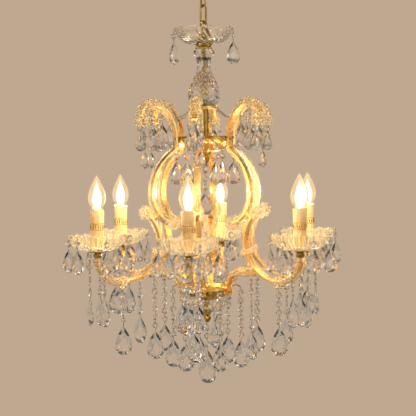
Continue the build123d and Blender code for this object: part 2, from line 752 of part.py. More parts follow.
def hub_finial():
    """Turned finial with the rod and nut that clamp the glass bowl under the hub."""
    nut_low = HUB_FLOOR_Z + HUB_WALL
    return turned_points(
        (0, BOTTOM_Z),
        (HUB_FINIAL_RADIUS * 0.3, BOTTOM_Z),
        (HUB_FINIAL_RADIUS * 0.8, BOTTOM_Z + HUB_FINIAL_LENGTH * 0.35),
        (HUB_FINIAL_RADIUS * 0.5, BOTTOM_Z + HUB_FINIAL_LENGTH * 0.65),
        (HUB_FINIAL_RADIUS, HUB_BOWL_Z),
        (HUB_ROD_RADIUS, HUB_BOWL_Z),
        (HUB_ROD_RADIUS, nut_low),
        (NUT_RADIUS, nut_low),
        (NUT_RADIUS, nut_low + NUT_HEIGHT),
        (0, nut_low + NUT_HEIGHT),
    )


# Crystals


def crystal(profile):
    """Flat-faceted solid hung from the origin: eight-sided rings as widths and depths below the top."""
    corner = 0.5 / cos(pi / 8)
    turns = [pi * (k + 0.5) / 4 for k in range(8)]
    loops = []
    for width, down in profile:
        reach = width * corner
        loops.append([Vector(CRYSTAL_FLATNESS * reach * cos(a), reach * sin(a), -down) for a in turns])
    faces = [Face(Wire.make_polygon(loops[0])), Face(Wire.make_polygon(loops[-1]))]
    for upper, lower in zip(loops, loops[1:]):
        for k in range(8):
            corners = [upper[k - 1], upper[k], lower[k], lower[k - 1]]
            faces.append(Face(Wire.make_polygon(corners)))
    return Solid(Shell(faces))


def bead_profile(top):
    """Octagon bead between two pins: two slopes and a straight girdle."""
    girdle = ((BEAD_WIDTH, 0.32), (BEAD_WIDTH, 0.68))
    middle = [(width, top + share * BEAD_LENGTH) for width, share in girdle]
    return [(PIN_WIDTH, top)] + middle + [(PIN_WIDTH, top + BEAD_LENGTH)]


def drop_profile(size, top):
    """Pear-shaped drop: narrow at the hook, widest below the middle, blunt at the point."""
    length, width = size
    outline = ((0.34, 0.12), (0.72, 0.4), (1.0, 0.68), (0.76, 0.87), (0.12, 1.0))
    return [(PIN_WIDTH, top)] + [(share * width, top + down * length) for share, down in outline]


def bead_string(beads, lead=PIN_LENGTH, end=None, step=PIN_LENGTH):
    """Beads strung on their pins from the origin down, with a drop or a bare pin at the end."""
    profile = [(PIN_WIDTH, 0)]
    down = lead
    for _ in range(beads):
        profile += bead_profile(down)
        down += BEAD_LENGTH + step
    profile += drop_profile(end, down) if end else [(PIN_WIDTH, down)]
    return crystal(profile)


def off_bar(edge, share, side, reach):
    """Point beside a bar at a share of an edge: side 1 is left of the path."""
    left = (edge % share).cross(Vector(0, 1, 0))
    return edge @ share + left * side * reach


def face_point(edge, share, side):
    """Point just off the glass on one face of a bar."""
    return off_bar(edge, share, side, CLAD_HALF + GAP)


def crown_strings():
    """Three drops under each crown scroll: at the tip, under the top and on the inner flank."""
    crown = crown_edges()
    flank = face_point(crown[0], 0.86, -1) + Vector(PIN_WIDTH / 2, 0, 0)
    tip = crown[2] @ 1 + (crown[2] % 1) * (EYE_RADIUS - STRIP_THICK / 2) - Vector(0, 0, EYE_RADIUS + GAP)
    return [
        Pos(tip) * bead_string(0, 2 * PIN_LENGTH, MEDIUM_DROP),
        Pos(face_point(crown[2], 0.12, -1)) * bead_string(2, PIN_LENGTH, MEDIUM_DROP),
        Pos(flank) * bead_string(1, PIN_LENGTH, MEDIUM_DROP),
    ]


def plate_string():
    """String under the plate's skirt, between two cage bars."""
    radius = WAIST_RADIUS - STRIP_THICK / 2 - FIT - PLATE_SKIRT_WALL / 2
    return Pos(radius, 0, PLATE_Z - PLATE_SKIRT - GAP) * bead_string(2, PIN_LENGTH, MEDIUM_DROP)


def garland():
    """Beads in a straight run from the garland ring to the crown's inner flank."""
    start = vec(RING_RADIUS + PIN_WIDTH / 2, RING_Z - RING_HEIGHT / 2)
    end = face_point(crown_edges()[0], 0.5, 1)
    step = ((end - start).length - GARLAND_BEAD_COUNT * BEAD_LENGTH) / (GARLAND_BEAD_COUNT + 1)
    return Plane(start, x_dir=(0, 1, 0), z_dir=start - end) * bead_string(GARLAND_BEAD_COUNT, step, step=step)


def arm_string_set():
    """Fixed strings of one arm: under its lowest point, under the root bar and two at the cup's saucer."""
    arm, root = arm_edges(), root_edges()
    collar = off_bar(arm[0], LOWER_COLLAR_AT, 1, COLLAR_RING_HOLE + COLLAR_RING_WALL + GAP)
    strings = [
        Pos(collar) * bead_string(ARM_BEAD_COUNT, end=LARGE_DROP),
        Pos(face_point(root[2], 0.55, -1)) * bead_string(ROOT_BEAD_COUNT, end=LARGE_DROP),
    ]
    for turn in (-120, 120):
        strings.append(Pos(ARM_RADIUS, 0, 0) * Rot(0, 0, turn) * saucer_string())
    return strings


def saucer_string():
    """Long string hung under the saucer's rim, placed relative to the cup's axis."""
    hung = bead_string(SAUCER_BEAD_COUNT, end=LARGE_DROP)
    return Pos(SAUCER_RADIUS - PIN_WIDTH, 0, SAUCER_Z - SAUCER_THICK - GAP) * hung


def bobeche_drop(turn):
    """Short drop hooked on the bobeche's rim."""
    reach = BOBECHE_RADIUS + PIN_WIDTH / 2 + GAP
    hung = Pos(reach, 0, SAUCER_Z + BOBECHE_HEIGHT) * bead_string(1, 2 * PIN_LENGTH, MEDIUM_DROP)
    return Pos(ARM_RADIUS, 0, 0) * Rot(0, 0, turn) * hung


def hub_string():
    reach = HUB_PRONG_REACH - HUB_PRONG_SIZE / 2
    return Pos(reach, 0, HUB_Z - HUB_PRONG_SIZE - GAP) * bead_string(HUB_BEAD_COUNT, end=LARGE_DROP)


def dish_drop(angle):
    """Drop hooked on the top dish's rim."""
    reach = DISH_RADIUS + PIN_WIDTH / 2 + GAP
    hung = Pos(reach, 0, DISH_Z + DISH_HEIGHT) * bead_string(1, 2 * PIN_LENGTH, MEDIUM_DROP)
    return Rot(0, 0, angle) * hung


# Assembly


def repeated(shapes, first=-90.0):
    """Every shape of one arm, copied round all the arms."""
    return [copy for shape in shapes for copy in round_array(shape, first=first)]


def main():
    os.makedirs("parts", exist_ok=True)
    save("ceiling_strap", ceiling_strap())
    save("ceiling_canopy", ceiling_canopy())
    save("ceiling_loop", ceiling_loop())
    save("terminal_block", terminal_block())
    for number in range(1, LINK_COUNT + 1):
        save(f"chain_link_{number}", chain_link(number))

    save("hanging_loop", hanging_loop())
    save("stem_tube", stem_tube())
    save("top_dish", dish(DISH_RADIUS, DISH_HEIGHT, DISH_WALL, DISH_FLOOR, STEM_RADIUS + FIT, DISH_Z))
    save("dish_collar", dish_collar())
    save("glass_baluster", glass_baluster())
    save("garland_ring", tube(RING_RADIUS, STEM_RADIUS + FIT, RING_Z, RING_HEIGHT))
    save("stem_spacer", tube(SPACER_RADIUS, STEM_RADIUS + FIT, SPACER_Z, SPACER_LENGTH))
    save("upper_plate", upper_plate())
    save("upper_bowl", upper_bowl())
    save("stem_finial", stem_finial())

    for number, frame in enumerate(round_array(arm_frame()), 1):
        save(f"arm_frame_{number}", frame)
    screws = [
        frame_screw(WAIST_RADIUS, WAIST_Z - WAIST_LENGTH / 2),
        frame_screw(ROOT_RADIUS, HUB_Z - ROOT_START + ROOT_LENGTH / 2),
    ]
    pins = [rosette_pin(edge) for edge in (crown_edges()[2], cage_edges()[2], arm_edges()[3])]
    save("frame_screws", *repeated(screws + pins))
    save("cage_glass", *repeated(cage_shells()))
    save("arm_glass", *repeated(arm_shells()))
    save("rosettes", *repeated(arm_rosettes()))

    at_arm = Pos(ARM_RADIUS, 0, 0)
    save("candle_cups", *repeated([at_arm * candle_cup()]))
    save("lampholders", *repeated([at_arm * lampholder()]))
    save("candle_sleeves", *repeated([at_arm * candle_sleeve()]))
    for number, glass in enumerate(round_array(at_arm * bobeche()), 1):
        save(f"bobeche_{number}", glass)
    for number, lamp in enumerate(round_array(at_arm * bulb()), 1):
        save(f"bulb_{number}", lamp)

    save("lower_hub", lower_hub())
    save("hub_bowl", hub_bowl())
    save("hub_finial", hub_finial())

    save("upper_drops", *repeated(crown_strings()), *repeated([plate_string()], first=-60.0))
    save("garland_strings", *repeated([garland()]))
    save("arm_strings", *repeated(arm_string_set()), *repeated([hub_string()], first=-60.0))
    drop_turns = [360.0 / BOBECHE_DROP_COUNT * (k + 0.5) for k in range(BOBECHE_DROP_COUNT)]
    save("bobeche_drops", *repeated([bobeche_drop(turn) for turn in drop_turns]))
    for number, hung in enumerate(round_array(at_arm * saucer_string()), 1):
        save(f"cup_string_{number}", hung)
    for number, angle in enumerate(DISH_DROP_ANGLES, 1):
        save(f"dish_drop_{number}", dish_drop(angle))
    save("centre_string", Pos(0, 0, STRING_Z - GAP) * bead_string(STEM_BEAD_COUNT, end=MEDIUM_DROP))
    save("bottom_string", Pos(0, 0, BOTTOM_Z - GAP) * bead_string(BOTTOM_BEAD_COUNT, end=LOWEST_DROP))


if __name__ == "__main__":
    main()
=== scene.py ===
# %% [markdown]
# # A candelabra chandelier with six lights
# This lesson dresses a chandelier whose gilt bars are clad in glass. The metal frame, the chain and the
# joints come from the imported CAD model, and they never move. The glass, the crystals, the candles and the
# bulbs are new surfaces, worked out with numpy in metres, in the same frame as the CAD model.

# %% Load the frame
import json
from math import cos, pi, radians, sin

import bmesh
import bpy
import numpy as np
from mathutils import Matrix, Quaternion, Vector


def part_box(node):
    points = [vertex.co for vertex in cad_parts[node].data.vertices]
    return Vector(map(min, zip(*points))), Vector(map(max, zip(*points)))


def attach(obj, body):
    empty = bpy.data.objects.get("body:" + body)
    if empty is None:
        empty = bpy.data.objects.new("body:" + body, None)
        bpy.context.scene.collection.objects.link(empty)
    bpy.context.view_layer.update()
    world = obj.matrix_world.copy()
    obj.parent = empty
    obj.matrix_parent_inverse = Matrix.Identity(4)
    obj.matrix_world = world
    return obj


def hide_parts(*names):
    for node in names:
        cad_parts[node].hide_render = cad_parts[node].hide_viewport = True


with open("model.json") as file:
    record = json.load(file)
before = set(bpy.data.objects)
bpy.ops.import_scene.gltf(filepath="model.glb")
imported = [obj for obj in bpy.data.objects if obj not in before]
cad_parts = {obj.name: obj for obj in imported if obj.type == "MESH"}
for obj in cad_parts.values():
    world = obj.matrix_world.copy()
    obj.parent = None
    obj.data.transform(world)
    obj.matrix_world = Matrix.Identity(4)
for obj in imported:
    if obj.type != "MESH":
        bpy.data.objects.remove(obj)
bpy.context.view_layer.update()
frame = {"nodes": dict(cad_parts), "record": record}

# %% [markdown]
# ## Camera
# A long lens from far away keeps the six arms at nearly the same size. The camera stands a little to the
# right of the front arm, level with the upper bowl, and looks slightly down. It is rolled by less than one
# degree, because the light in the photo hangs a little askew in its frame.

# %% Camera
IMAGE_SIDE, FOCAL_PIXELS, SENSOR_WIDTH = 416, 1368, 36.0
CAMERA_DISTANCE, CAMERA_HEIGHT = 2.736, -0.472
CAMERA_TURN, CAMERA_ROLL = radians(8.07), radians(-0.7)
AIM_HEIGHT, AIM_RIGHT = -0.566, 0.0047


def new_object(name, data):
    """Object that shows some data, linked to the scene."""
    made = bpy.data.objects.new(name, data)
    bpy.context.scene.collection.objects.link(made)
    return made


def towards(place, aim):
    """Turn of a camera or lamp at a place that looks at another place."""
    return (aim - place).to_track_quat("-Z", "Y")


to_camera = Vector((sin(CAMERA_TURN), -cos(CAMERA_TURN), 0))
to_right = Vector((cos(CAMERA_TURN), sin(CAMERA_TURN), 0))
camera_data = bpy.data.cameras.new("camera")
camera_data.sensor_width = SENSOR_WIDTH
camera_data.lens = FOCAL_PIXELS / IMAGE_SIDE * SENSOR_WIDTH
camera = new_object("camera", camera_data)
camera.location = to_camera * CAMERA_DISTANCE + Vector((0, 0, CAMERA_HEIGHT))
level = towards(camera.location, to_right * AIM_RIGHT + Vector((0, 0, AIM_HEIGHT)))
camera.rotation_euler = (level @ Quaternion((0, 0, 1), CAMERA_ROLL)).to_euler()
bpy.context.scene.camera = camera
print("lens", round(camera_data.lens, 1), "mm")

# %% [markdown]
# ## Surfaces from formulas
# Every new piece is a grid of points: one parameter runs along the rows, the other along the columns.
# Joining each point to its neighbours gives four-cornered faces. A shape is a pair: an array of points
# and a list of face arrays. Tubes close at their ends, and profiles turned about the axis close in a ring.


# %% Grids
def points_of(x, y, z):
    """Points from three coordinates, each a number or an array, spread to one size."""
    return np.stack(np.broadcast_arrays(x, y, z), axis=-1)


def circle(steps):
    """Even turns of a whole circle, as one row."""
    return np.linspace(0, 2 * pi, steps, endpoint=False)[None, :]


def column(first, last, steps):
    """Even steps from first to last, as one column."""
    return np.linspace(first, last, steps)[:, None]


def round_axis(radius, turn, z):
    """Points about the upright axis: the radius times the cosine and the sine of the turn, and a height."""
    return points_of(radius * np.cos(turn), radius * np.sin(turn), z)


def grid(points, wrap_rows=False):
    """Shape of an array of points (rows, columns, 3): each face joins a point to the next row and column."""
    rows, columns = points.shape[:2]
    here = np.arange(rows * columns).reshape(rows, columns)
    beside, under = np.roll(here, -1, axis=1), np.roll(here, -1, axis=0)
    faces = np.stack([here, beside, np.roll(beside, -1, axis=0), under], axis=-1)
    return points.reshape(-1, 3), [faces[: None if wrap_rows else -1].reshape(-1, 4)]


def capped(points):
    """Shape of a tube of points: each end closes to the middle of its last ring."""
    ends = points[[0, -1]].mean(axis=1, keepdims=True) + 0 * points[[0, -1]]
    return grid(np.concatenate([ends[:1], points, ends[1:]]))


def ring_shape(turn, *profile):
    """Closed profile turned about the axis. Its parts are pairs of radius and height, numbers or arrays."""
    parts = [np.broadcast_arrays(radius, z, turn)[:2] for radius, z in profile]
    radius, z = (np.concatenate(values) for values in zip(*parts))
    return grid(round_axis(radius, turn, z), wrap_rows=True)


# %% [markdown]
# ## Copies and pieces
# Copies and joins work on whole arrays of points. A finished shape becomes a mesh object that rides on a
# body of the CAD model and gets its material.

# %% Copies, joins and meshes
MERGE_DISTANCE = 1e-6


def placed(shape, turns, places):
    """Copies of a shape: every point is turned by its copy's matrix and moved to its copy's place."""
    points, faces = shape
    moved = np.einsum("nij,pj->npi", turns, points) + np.asarray(places)[:, None, :]
    starts = (np.arange(len(places)) * len(points))[:, None, None]
    return moved.reshape(-1, 3), [(part[None] + starts).reshape(-1, part.shape[1]) for part in faces]


def joined(shapes):
    """One shape of several: the points in a row, and each shape's faces counted on from its first point."""
    starts = np.cumsum([0] + [len(points) for points, _ in shapes])
    points = np.concatenate([points for points, _ in shapes])
    return points, [part + start for (_, faces), start in zip(shapes, starts) for part in faces]


def turn_z(angles):
    """Matrices that turn about the upright axis by each angle."""
    angles = np.atleast_1d(angles)
    c, s, o = np.cos(angles), np.sin(angles), np.zeros(len(angles))
    return np.stack([points_of(c, -s, o), points_of(s, c, o), points_of(o, o, o + 1)], axis=1)


def piece(name, shape, finish, nodes=(), sharp=None, body="frame"):
    """Mesh object of a shape, with poles merged and faces outwards. Sharp is the angle of a hard edge: with 0
    all faces are flat, and without it all are smooth."""
    points, faces = shape
    mesh = bpy.data.meshes.new(name)
    mesh.from_pydata(points.tolist(), [], [corners for part in faces for corners in part.tolist()])
    work = bmesh.new()
    work.from_mesh(mesh)
    bmesh.ops.remove_doubles(work, verts=work.verts, dist=MERGE_DISTANCE)
    bmesh.ops.recalc_face_normals(work, faces=work.faces)
    work.to_mesh(mesh)
    work.free()
    mesh.polygons.foreach_set("use_smooth", np.full(len(mesh.polygons), sharp != 0))
    if sharp:
        mesh.set_sharp_from_angle(angle=radians(sharp))
    mesh.materials.append(finish)
    made = new_object(name, mesh)
    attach(made, body)
    if nodes:
        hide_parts(*nodes)
    print(name, len(mesh.vertices), "points", len(mesh.polygons), "faces")


# %% [markdown]
# ## Shared shader groups
# Two effects come back in several finishes. The first is the uneven film on old metal: a slow stain and a
# fine grain that change colour, roughness and height. The second is the faint waviness of hand-pressed
# glass. Each is built once as a node group, and every material gives it its own values.

# %% Node helpers and groups
FILM_INPUTS = ("Clean", "Stained", "Stain Scale", "Smoothest", "Roughest")
WAVE_INPUTS = ("Clear", "Tinted", "Wave Scale", "Smoothest", "Roughest")


def set_inputs(node, values):
    """Gives values to a node's inputs."""
    for key, value in values.items():
        node.inputs[key].default_value = value


def link_inputs(tree, node, sockets):
    """Links sockets to a node's inputs."""
    for key, socket in sockets.items():
        tree.links.new(socket, node.inputs[key])


def wire_up(tree, kind, values=None, links=None, **settings):
    """New shader node in a tree with its settings, its input values and its incoming links."""
    node = tree.nodes.new(f"ShaderNode{kind}")
    for key, value in settings.items():
        setattr(node, key, value)
    set_inputs(node, values or {})
    link_inputs(tree, node, links or {})
    return node


def start_group(name, colours, numbers):
    """New node group with named inputs, and outputs for colour, roughness and height. Gives the tree, the
    inputs and Object coordinates."""
    tree = bpy.data.node_groups.new(name, "ShaderNodeTree")
    sockets = [(key, "INPUT", "Color") for key in colours] + [(key, "INPUT", "Float") for key in numbers]
    sockets += [("Color", "OUTPUT", "Color"), ("Roughness", "OUTPUT", "Float"), ("Height", "OUTPUT", "Float")]
    for key, way, kind in sockets:
        tree.interface.new_socket(key, in_out=way, socket_type=f"NodeSocket{kind}")
    given = tree.nodes.new("NodeGroupInput").outputs
    return tree, given, wire_up(tree, "TexCoord").outputs["Object"]


def end_group(tree, given, colours, share, rough_share, height):
    """Last nodes of a group: one share mixes its two colours, another sets the roughness within limits."""
    mixed = {"Factor": share, "A": given[colours[0]], "B": given[colours[1]]}
    limits = {"Value": rough_share, "To Min": given["Smoothest"], "To Max": given["Roughest"]}
    results = {
        "Color": wire_up(tree, "Mix", links=mixed, data_type="RGBA").outputs["Result"],
        "Roughness": wire_up(tree, "MapRange", links=limits).outputs["Result"],
        "Height": height,
    }
    link_inputs(tree, tree.nodes.new("NodeGroupOutput"), results)
    return tree


def metal_film_group():
    """A stain from slow noise mixes two colours; fine noise adds grain to the roughness and the height."""
    colours = FILM_INPUTS[:2]
    tree, given, place = start_group("metal_film", colours, FILM_INPUTS[2:])
    at = {"Vector": place, "Scale": given["Stain Scale"]}
    stain = wire_up(tree, "TexNoise", {"Detail": 4.0}, at).outputs["Fac"]
    grain = wire_up(tree, "TexNoise", {"Scale": 900.0, "Detail": 2.0}, {"Vector": place}).outputs["Fac"]
    edges = {"From Min": 0.42, "From Max": 0.72}
    mask = wire_up(tree, "MapRange", edges, {"Value": stain}).outputs["Result"]
    both = wire_up(tree, "Math", links={0: mask, 1: grain}, operation="MULTIPLY").outputs[0]
    return end_group(tree, given, colours, mask, both, grain)


def glass_wave_group():
    """Slow noise is the wave of pressed glass; its share also mixes a clear and a faintly tinted colour."""
    colours = WAVE_INPUTS[:2]
    tree, given, place = start_group("glass_wave", colours, WAVE_INPUTS[2:])
    at = {"Vector": place, "Scale": given["Wave Scale"]}
    wave = wire_up(tree, "TexNoise", {"Detail": 1.0}, at).outputs["Fac"]
    return end_group(tree, given, colours, wave, wave, wave)


METAL_FILM, GLASS_WAVE = metal_film_group(), glass_wave_group()
print("groups", METAL_FILM.name, GLASS_WAVE.name)

# %% [markdown]
# ## Finishes
# The bars are gilded steel, a warm yellow gold. The chain, cups and finials are turned brass, more olive, and
# darker partly as painted shade: the brass colour stands in for the dark room it mirrors. Cut crystal bends
# light more than pressed glass, so it gets a higher index of refraction. The dishes and rosettes scatter a
# part of the light among their many small ribs, so theirs is a clouded glass.
# Card and insulator have the film of old metal too, without the metal.

# %% Materials
RELIEF_DISTANCE = 0.0005


def new_material(name, values):
    """Material with these values on its shader. Gives the material, its tree and the shader."""
    made = bpy.data.materials.new(name)
    made.use_nodes = True
    shader = made.node_tree.nodes["Principled BSDF"]
    set_inputs(shader, values)
    return made, made.node_tree, shader


def surfaced(name, values, group, group_values, bump):
    """Material whose colour, roughness and relief come from a node group."""
    made, tree, shader = new_material(name, values)
    effect = wire_up(tree, "Group", group_values, node_tree=group).outputs
    relief = {"Strength": bump, "Distance": RELIEF_DISTANCE}
    normal = wire_up(tree, "Bump", relief, {"Height": effect["Height"]}).outputs["Normal"]
    feeds = {"Base Color": effect["Color"], "Roughness": effect["Roughness"], "Normal": normal}
    link_inputs(tree, shader, feeds)
    return made


def filmed(name, *film, bump=0.1, metallic=1.0):
    """Metal under an uneven film, or card and plastic when it is given as not metallic."""
    return surfaced(name, {"Metallic": metallic}, METAL_FILM, dict(zip(FILM_INPUTS, film)), bump)


def glass(name, index, *wave, bump, clearness=1.0):
    """Clear glass with a faint wave; less clearness leaves a share that scatters."""
    own = {"Transmission Weight": clearness, "IOR": index}
    return surfaced(name, own, GLASS_WAVE, dict(zip(WAVE_INPUTS, wave)), bump)


GILT = filmed("gilt_metal", (1.0, 0.68, 0.26, 1), (0.86, 0.46, 0.12, 1), 45.0, 0.24, 0.45)
DEEP_GILT = filmed("deep_gilt", (0.95, 0.60, 0.18, 1), (0.62, 0.31, 0.06, 1), 60.0, 0.2, 0.4)
# Brass colour: partly its own olive tone, partly painted shade for the dark room that the metal mirrors
BRASS = filmed("turned_brass", (0.48, 0.34, 0.09, 1), (0.20, 0.13, 0.03, 1), 70.0, 0.12, 0.36)
STEEL = filmed("steel", (0.62, 0.62, 0.63, 1), (0.35, 0.34, 0.33, 1), 90.0, 0.25, 0.5)
INSULATOR = filmed("insulator", (0.86, 0.84, 0.78, 1), (0.62, 0.58, 0.50, 1), 150.0, 0.3, 0.55, metallic=0.0)
CANDLE = filmed(
    "candle_sleeve", (0.64, 0.45, 0.24, 1), (0.54, 0.33, 0.14, 1), 120.0, 0.35, 0.6, bump=0.15, metallic=0.0
)
CRYSTAL = glass("cut_crystal", 1.6, (1, 0.99, 0.96, 1), (0.97, 0.98, 0.99, 1), 120.0, 0.0, 0.02, bump=0.02)
PRESSED = glass("moulded_glass", 1.5, (1, 0.99, 0.96, 1), (1, 0.96, 0.88, 1), 90.0, 0.0, 0.2, bump=0.12)
CLOUDED = glass(
    "clouded_glass", 1.5, (1, 0.97, 0.87, 1), (1, 0.92, 0.74, 1), 140.0, 0.0, 0.08, bump=0.1, clearness=0.967
)
BULB_GLASS = glass("bulb_glass", 1.45, (1, 0.99, 0.96, 1), (1, 0.97, 0.92, 1), 60.0, 0.0, 0.02, bump=0.03)
print("finishes", len(bpy.data.materials))

# %% [markdown]
# ## Glow
# The bulb's light on the rim of its candle is painted: a warm painted glow fades down from the top, reading
# the height in Object coordinates and feeding Emission Color. The lamp's heart is one bright flame shape,
# hotter at its middle than at its point. The bulb's clear glass gets a faint painted glow as well.

# %% Glowing materials
SLEEVE_LOW, SLEEVE_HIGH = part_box("candle_sleeves")
BULB_LOW, BULB_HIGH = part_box("bulb_1")
# Painted light: the bulb's glow on the candle sleeve, as colour stops by height
CANDLE_PAINTED_GLOW = ((0.0, (0, 0, 0, 1)), (0.55, (0.18, 0.08, 0.015, 1)), (1.0, (0.80, 0.50, 0.18, 1)))
HEART_GLOW = ((0.0, (1.0, 0.72, 0.32, 1)), (0.35, (1.0, 0.95, 0.82, 1)), (1.0, (1.0, 0.78, 0.42, 1)))
GLOW_INSET = 0.01


def colour_by_height(tree, coordinates, low, high, stops):
    """Colour ramp through (share, colour) stops from one height to another, in the named coordinates."""
    place = wire_up(tree, "TexCoord").outputs[coordinates]
    z = wire_up(tree, "SeparateXYZ", links={0: place}).outputs["Z"]
    share = wire_up(tree, "MapRange", {"From Min": low, "From Max": high}, {"Value": z})
    ramp = wire_up(tree, "ValToRGB", links={"Fac": share.outputs["Result"]})
    elements = ramp.color_ramp.elements
    while len(elements) < len(stops):
        elements.new(0.5)
    for element, (position, colour) in zip(elements, stops):
        element.position = position
        element.color = colour
    return ramp.outputs["Color"]


def glowing(material, strength, inputs, *ramp):
    """Gives a material a glow whose colour, led to the named inputs, runs through a ramp with the height."""
    tree = material.node_tree
    colour, shader = colour_by_height(tree, "Object", *ramp), tree.nodes["Principled BSDF"]
    link_inputs(tree, shader, {key: colour for key in inputs})
    set_inputs(shader, {"Emission Strength": strength})


HEART = new_material("lamp_heart", {})[0]
glowing(HEART, 2.2, ("Base Color", "Emission Color"), SLEEVE_HIGH.z, BULB_HIGH.z - GLOW_INSET, HEART_GLOW)
# Painted light: the bulb's light on the sleeve is painted into Emission Color, fading down from the top
glowing(CANDLE, 0.55, ("Emission Color",), SLEEVE_LOW.z + GLOW_INSET, SLEEVE_HIGH.z, CANDLE_PAINTED_GLOW)
# Painted light: a faint warm glow on the clear bulb glass, standing in for the bulb's halo
painted_glass_glow = {"Emission Color": (1.0, 0.72, 0.30, 1), "Emission Strength": 0.1}
set_inputs(BULB_GLASS.node_tree.nodes["Principled BSDF"], painted_glass_glow)
HEART.cycles.emission_sampling = BULB_GLASS.cycles.emission_sampling = "NONE"

# %% [markdown]
# ## Nodes that keep their CAD shape
# Bars, chain, loops, stem, finials and the ceiling's parts already have their true shape. They keep it, and
# only their finish changes: each node's record slot names the material that it gets. The tubes of the stem
# are gilt too, but worn down to the brass.

# %% Materials on CAD nodes
FINISH_OF_SLOT = {
    "gilt_metal": GILT,
    "turned_brass": BRASS,
    "steel": STEEL,
    "insulator": INSULATOR,
    "candle_sleeve": CANDLE,
    "cut_crystal": CRYSTAL,
    "moulded_glass": PRESSED,
    "bulb_glass": BULB_GLASS,
}
slot_of_node = {row["node"]: row["material_slot"] for row in frame["record"]["subparts"]}
for node, shown in frame["nodes"].items():
    shown.data.materials.clear()
    shown.data.materials.append(FINISH_OF_SLOT[slot_of_node[node]])
for node in ("stem_tube", "stem_spacer"):
    frame["nodes"][node].data.materials[0] = BRASS
print("nodes with a finish", len(frame["nodes"]))

# %% [markdown]
# ## Heights and arms
# The boxes of a few CAD nodes give the heights. The first arm points to the front, and five more follow
# every 60 degrees. The strings between the arms hang half a step further on.


# %% Heights and arms
def width_and_heights(node):
    """Radius, lower end and upper end of a round CAD node."""
    low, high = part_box(node)
    return (high.x - low.x) / 2, low.z, high.z


ARM_TURNS = np.radians(-90.0 + 60.0 * np.arange(6))
BETWEEN_TURNS = ARM_TURNS + radians(30.0)
PLATE_RADIUS, PLATE_LOW, PLATE_TOP = width_and_heights("upper_plate")
CUP_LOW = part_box("candle_cups")[0].z
HUB_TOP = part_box("lower_hub")[1].z
ARM_RADIUS = -(BULB_LOW.y + BULB_HIGH.y) / 2
ARM_PLACES = round_axis(ARM_RADIUS, ARM_TURNS, 0)
ARMS = list(zip(range(1, 7), ARM_TURNS, BETWEEN_TURNS, ARM_PLACES))


def at_candles(shape):
    """Copies of a shape, made on the axis, at all six candles."""
    return placed(shape, turn_z(ARM_TURNS), ARM_PLACES)


def round_arms(shape, turns=ARM_TURNS):
    """Copies of one arm's shape, made in the plane of x and z, round all the arms."""
    return placed(shape, turn_z(turns), np.zeros((len(turns), 3)))


print("arm radius", round(ARM_RADIUS, 4), "plate", round(PLATE_TOP, 4), "hub", round(HUB_TOP, 4))

# %% [markdown]
# ## Fluted dishes
# The top dish, the six drip dishes and the bowl under the hub are pressed in one style: fine cuts that run
# out from the foot, and a rim of rounded lobes. A profile goes from the hole out to the rim and back
# inside. Turning it about the axis gives the dish. On the top dish the cuts swirl on their way out.

# %% Dishes
DISH_WALL, RIM_THIN, RIM_INSET, DISH_ROWS = 0.0035, 0.65, 0.55, 22
STEM_HOLE, LOW_STEM_HOLE = 0.0051, 0.0041
CUT_STEPS, CUT_IN, CUT_UP, CUT_START = 8, 0.5, 0.8, 0.25
LOBE_LIFT, LOBE_SPREAD, LOBE_MEAN = 0.004, 0.0013, 0.6
DISH_SHARP = 40


def ridge(turn, count):
    """Rounded ribs with sharp valleys between them: the size of a sine of half the turn."""
    return np.abs(np.sin(count * turn / 2))


def fluted_dish(node, floor, hole, cuts, depth, lobes, twist=0.0):
    """As large as a CAD dish: the side is a quarter of an ellipse, cuts sink into the outside and turn by the
    twist on the way out, and the rim lifts and spreads at each lobe."""
    radius, low, high = width_and_heights(node)
    turn, rise = circle(cuts * CUT_STEPS), column(0, pi / 2, DISH_ROWS)
    way = np.sin(rise)
    groove = depth * (1 - ridge(turn + twist * way, cuts)) * np.minimum(1, way / CUT_START)
    lobe = (ridge(turn, lobes) - LOBE_MEAN) * way**3
    side = floor + (radius - floor) * way + LOBE_SPREAD * lobe
    under = low + (high - low) * (1 - np.cos(rise)) + LOBE_LIFT * lobe
    outside = side - CUT_IN * groove, under + CUT_UP * groove
    inside = (side - RIM_INSET * DISH_WALL)[::-1], (under + DISH_WALL * (1 - RIM_THIN * way))[::-1]
    return ring_shape(turn, (hole, low), outside, inside, (hole, low + DISH_WALL))


top_dish = fluted_dish("top_dish", 0.018, STEM_HOLE, 26, 0.0022, 12, 0.8)
hub_bowl = fluted_dish("hub_bowl", 0.014, LOW_STEM_HOLE, 24, 0.0018, 12)
drip_dish = fluted_dish("bobeche_1", 0.020, STEM_HOLE, 45, 0.0012, 15)
piece("top_dish_glass", top_dish, PRESSED, ["top_dish"], DISH_SHARP)
piece("hub_bowl_glass", hub_bowl, PRESSED, ["hub_bowl"], DISH_SHARP)
for number, turn, _, place in ARMS:
    dish, node = placed(drip_dish, turn_z(turn), [place]), f"bobeche_{number}"
    piece(f"{node}_glass", dish, CLOUDED, [node], DISH_SHARP)

# %% [markdown]
# ## The cut-glass baluster
# A vase of cut glass hides the stem tube. Its outline is a smooth curve through a few radii. Below the
# neck a cutter ground chevrons: inside each upright panel the cut slants away from the panel's middle, so
# the depth is a triangle wave of the height plus the distance from that middle.

# %% Baluster
BALUSTER_OUTLINE = (
    (0.0, 0.07, 0.16, 0.27, 0.4, 0.58, 0.8, 0.94, 1.0),
    (0.017, 0.022, 0.016, 0.014, 0.016, 0.0251, 0.033, 0.0277, 0.0198),
)
BALUSTER_BORE, PANELS, PANEL_STEPS, BALUSTER_STEPS = 0.008, 8, 20, 150
CHEVRON_DEPTH, CHEVRON_ROWS, CHEVRON_SLANT, FLUTE_DEPTH = 0.0020, 10, 1.6, 0.0014
COLLAR_END, FLUTES_START, FLUTES_END, NECK, CHEVRONS_START, CHEVRONS_END = 0.12, 0.18, 0.31, 0.36, 0.44, 0.94


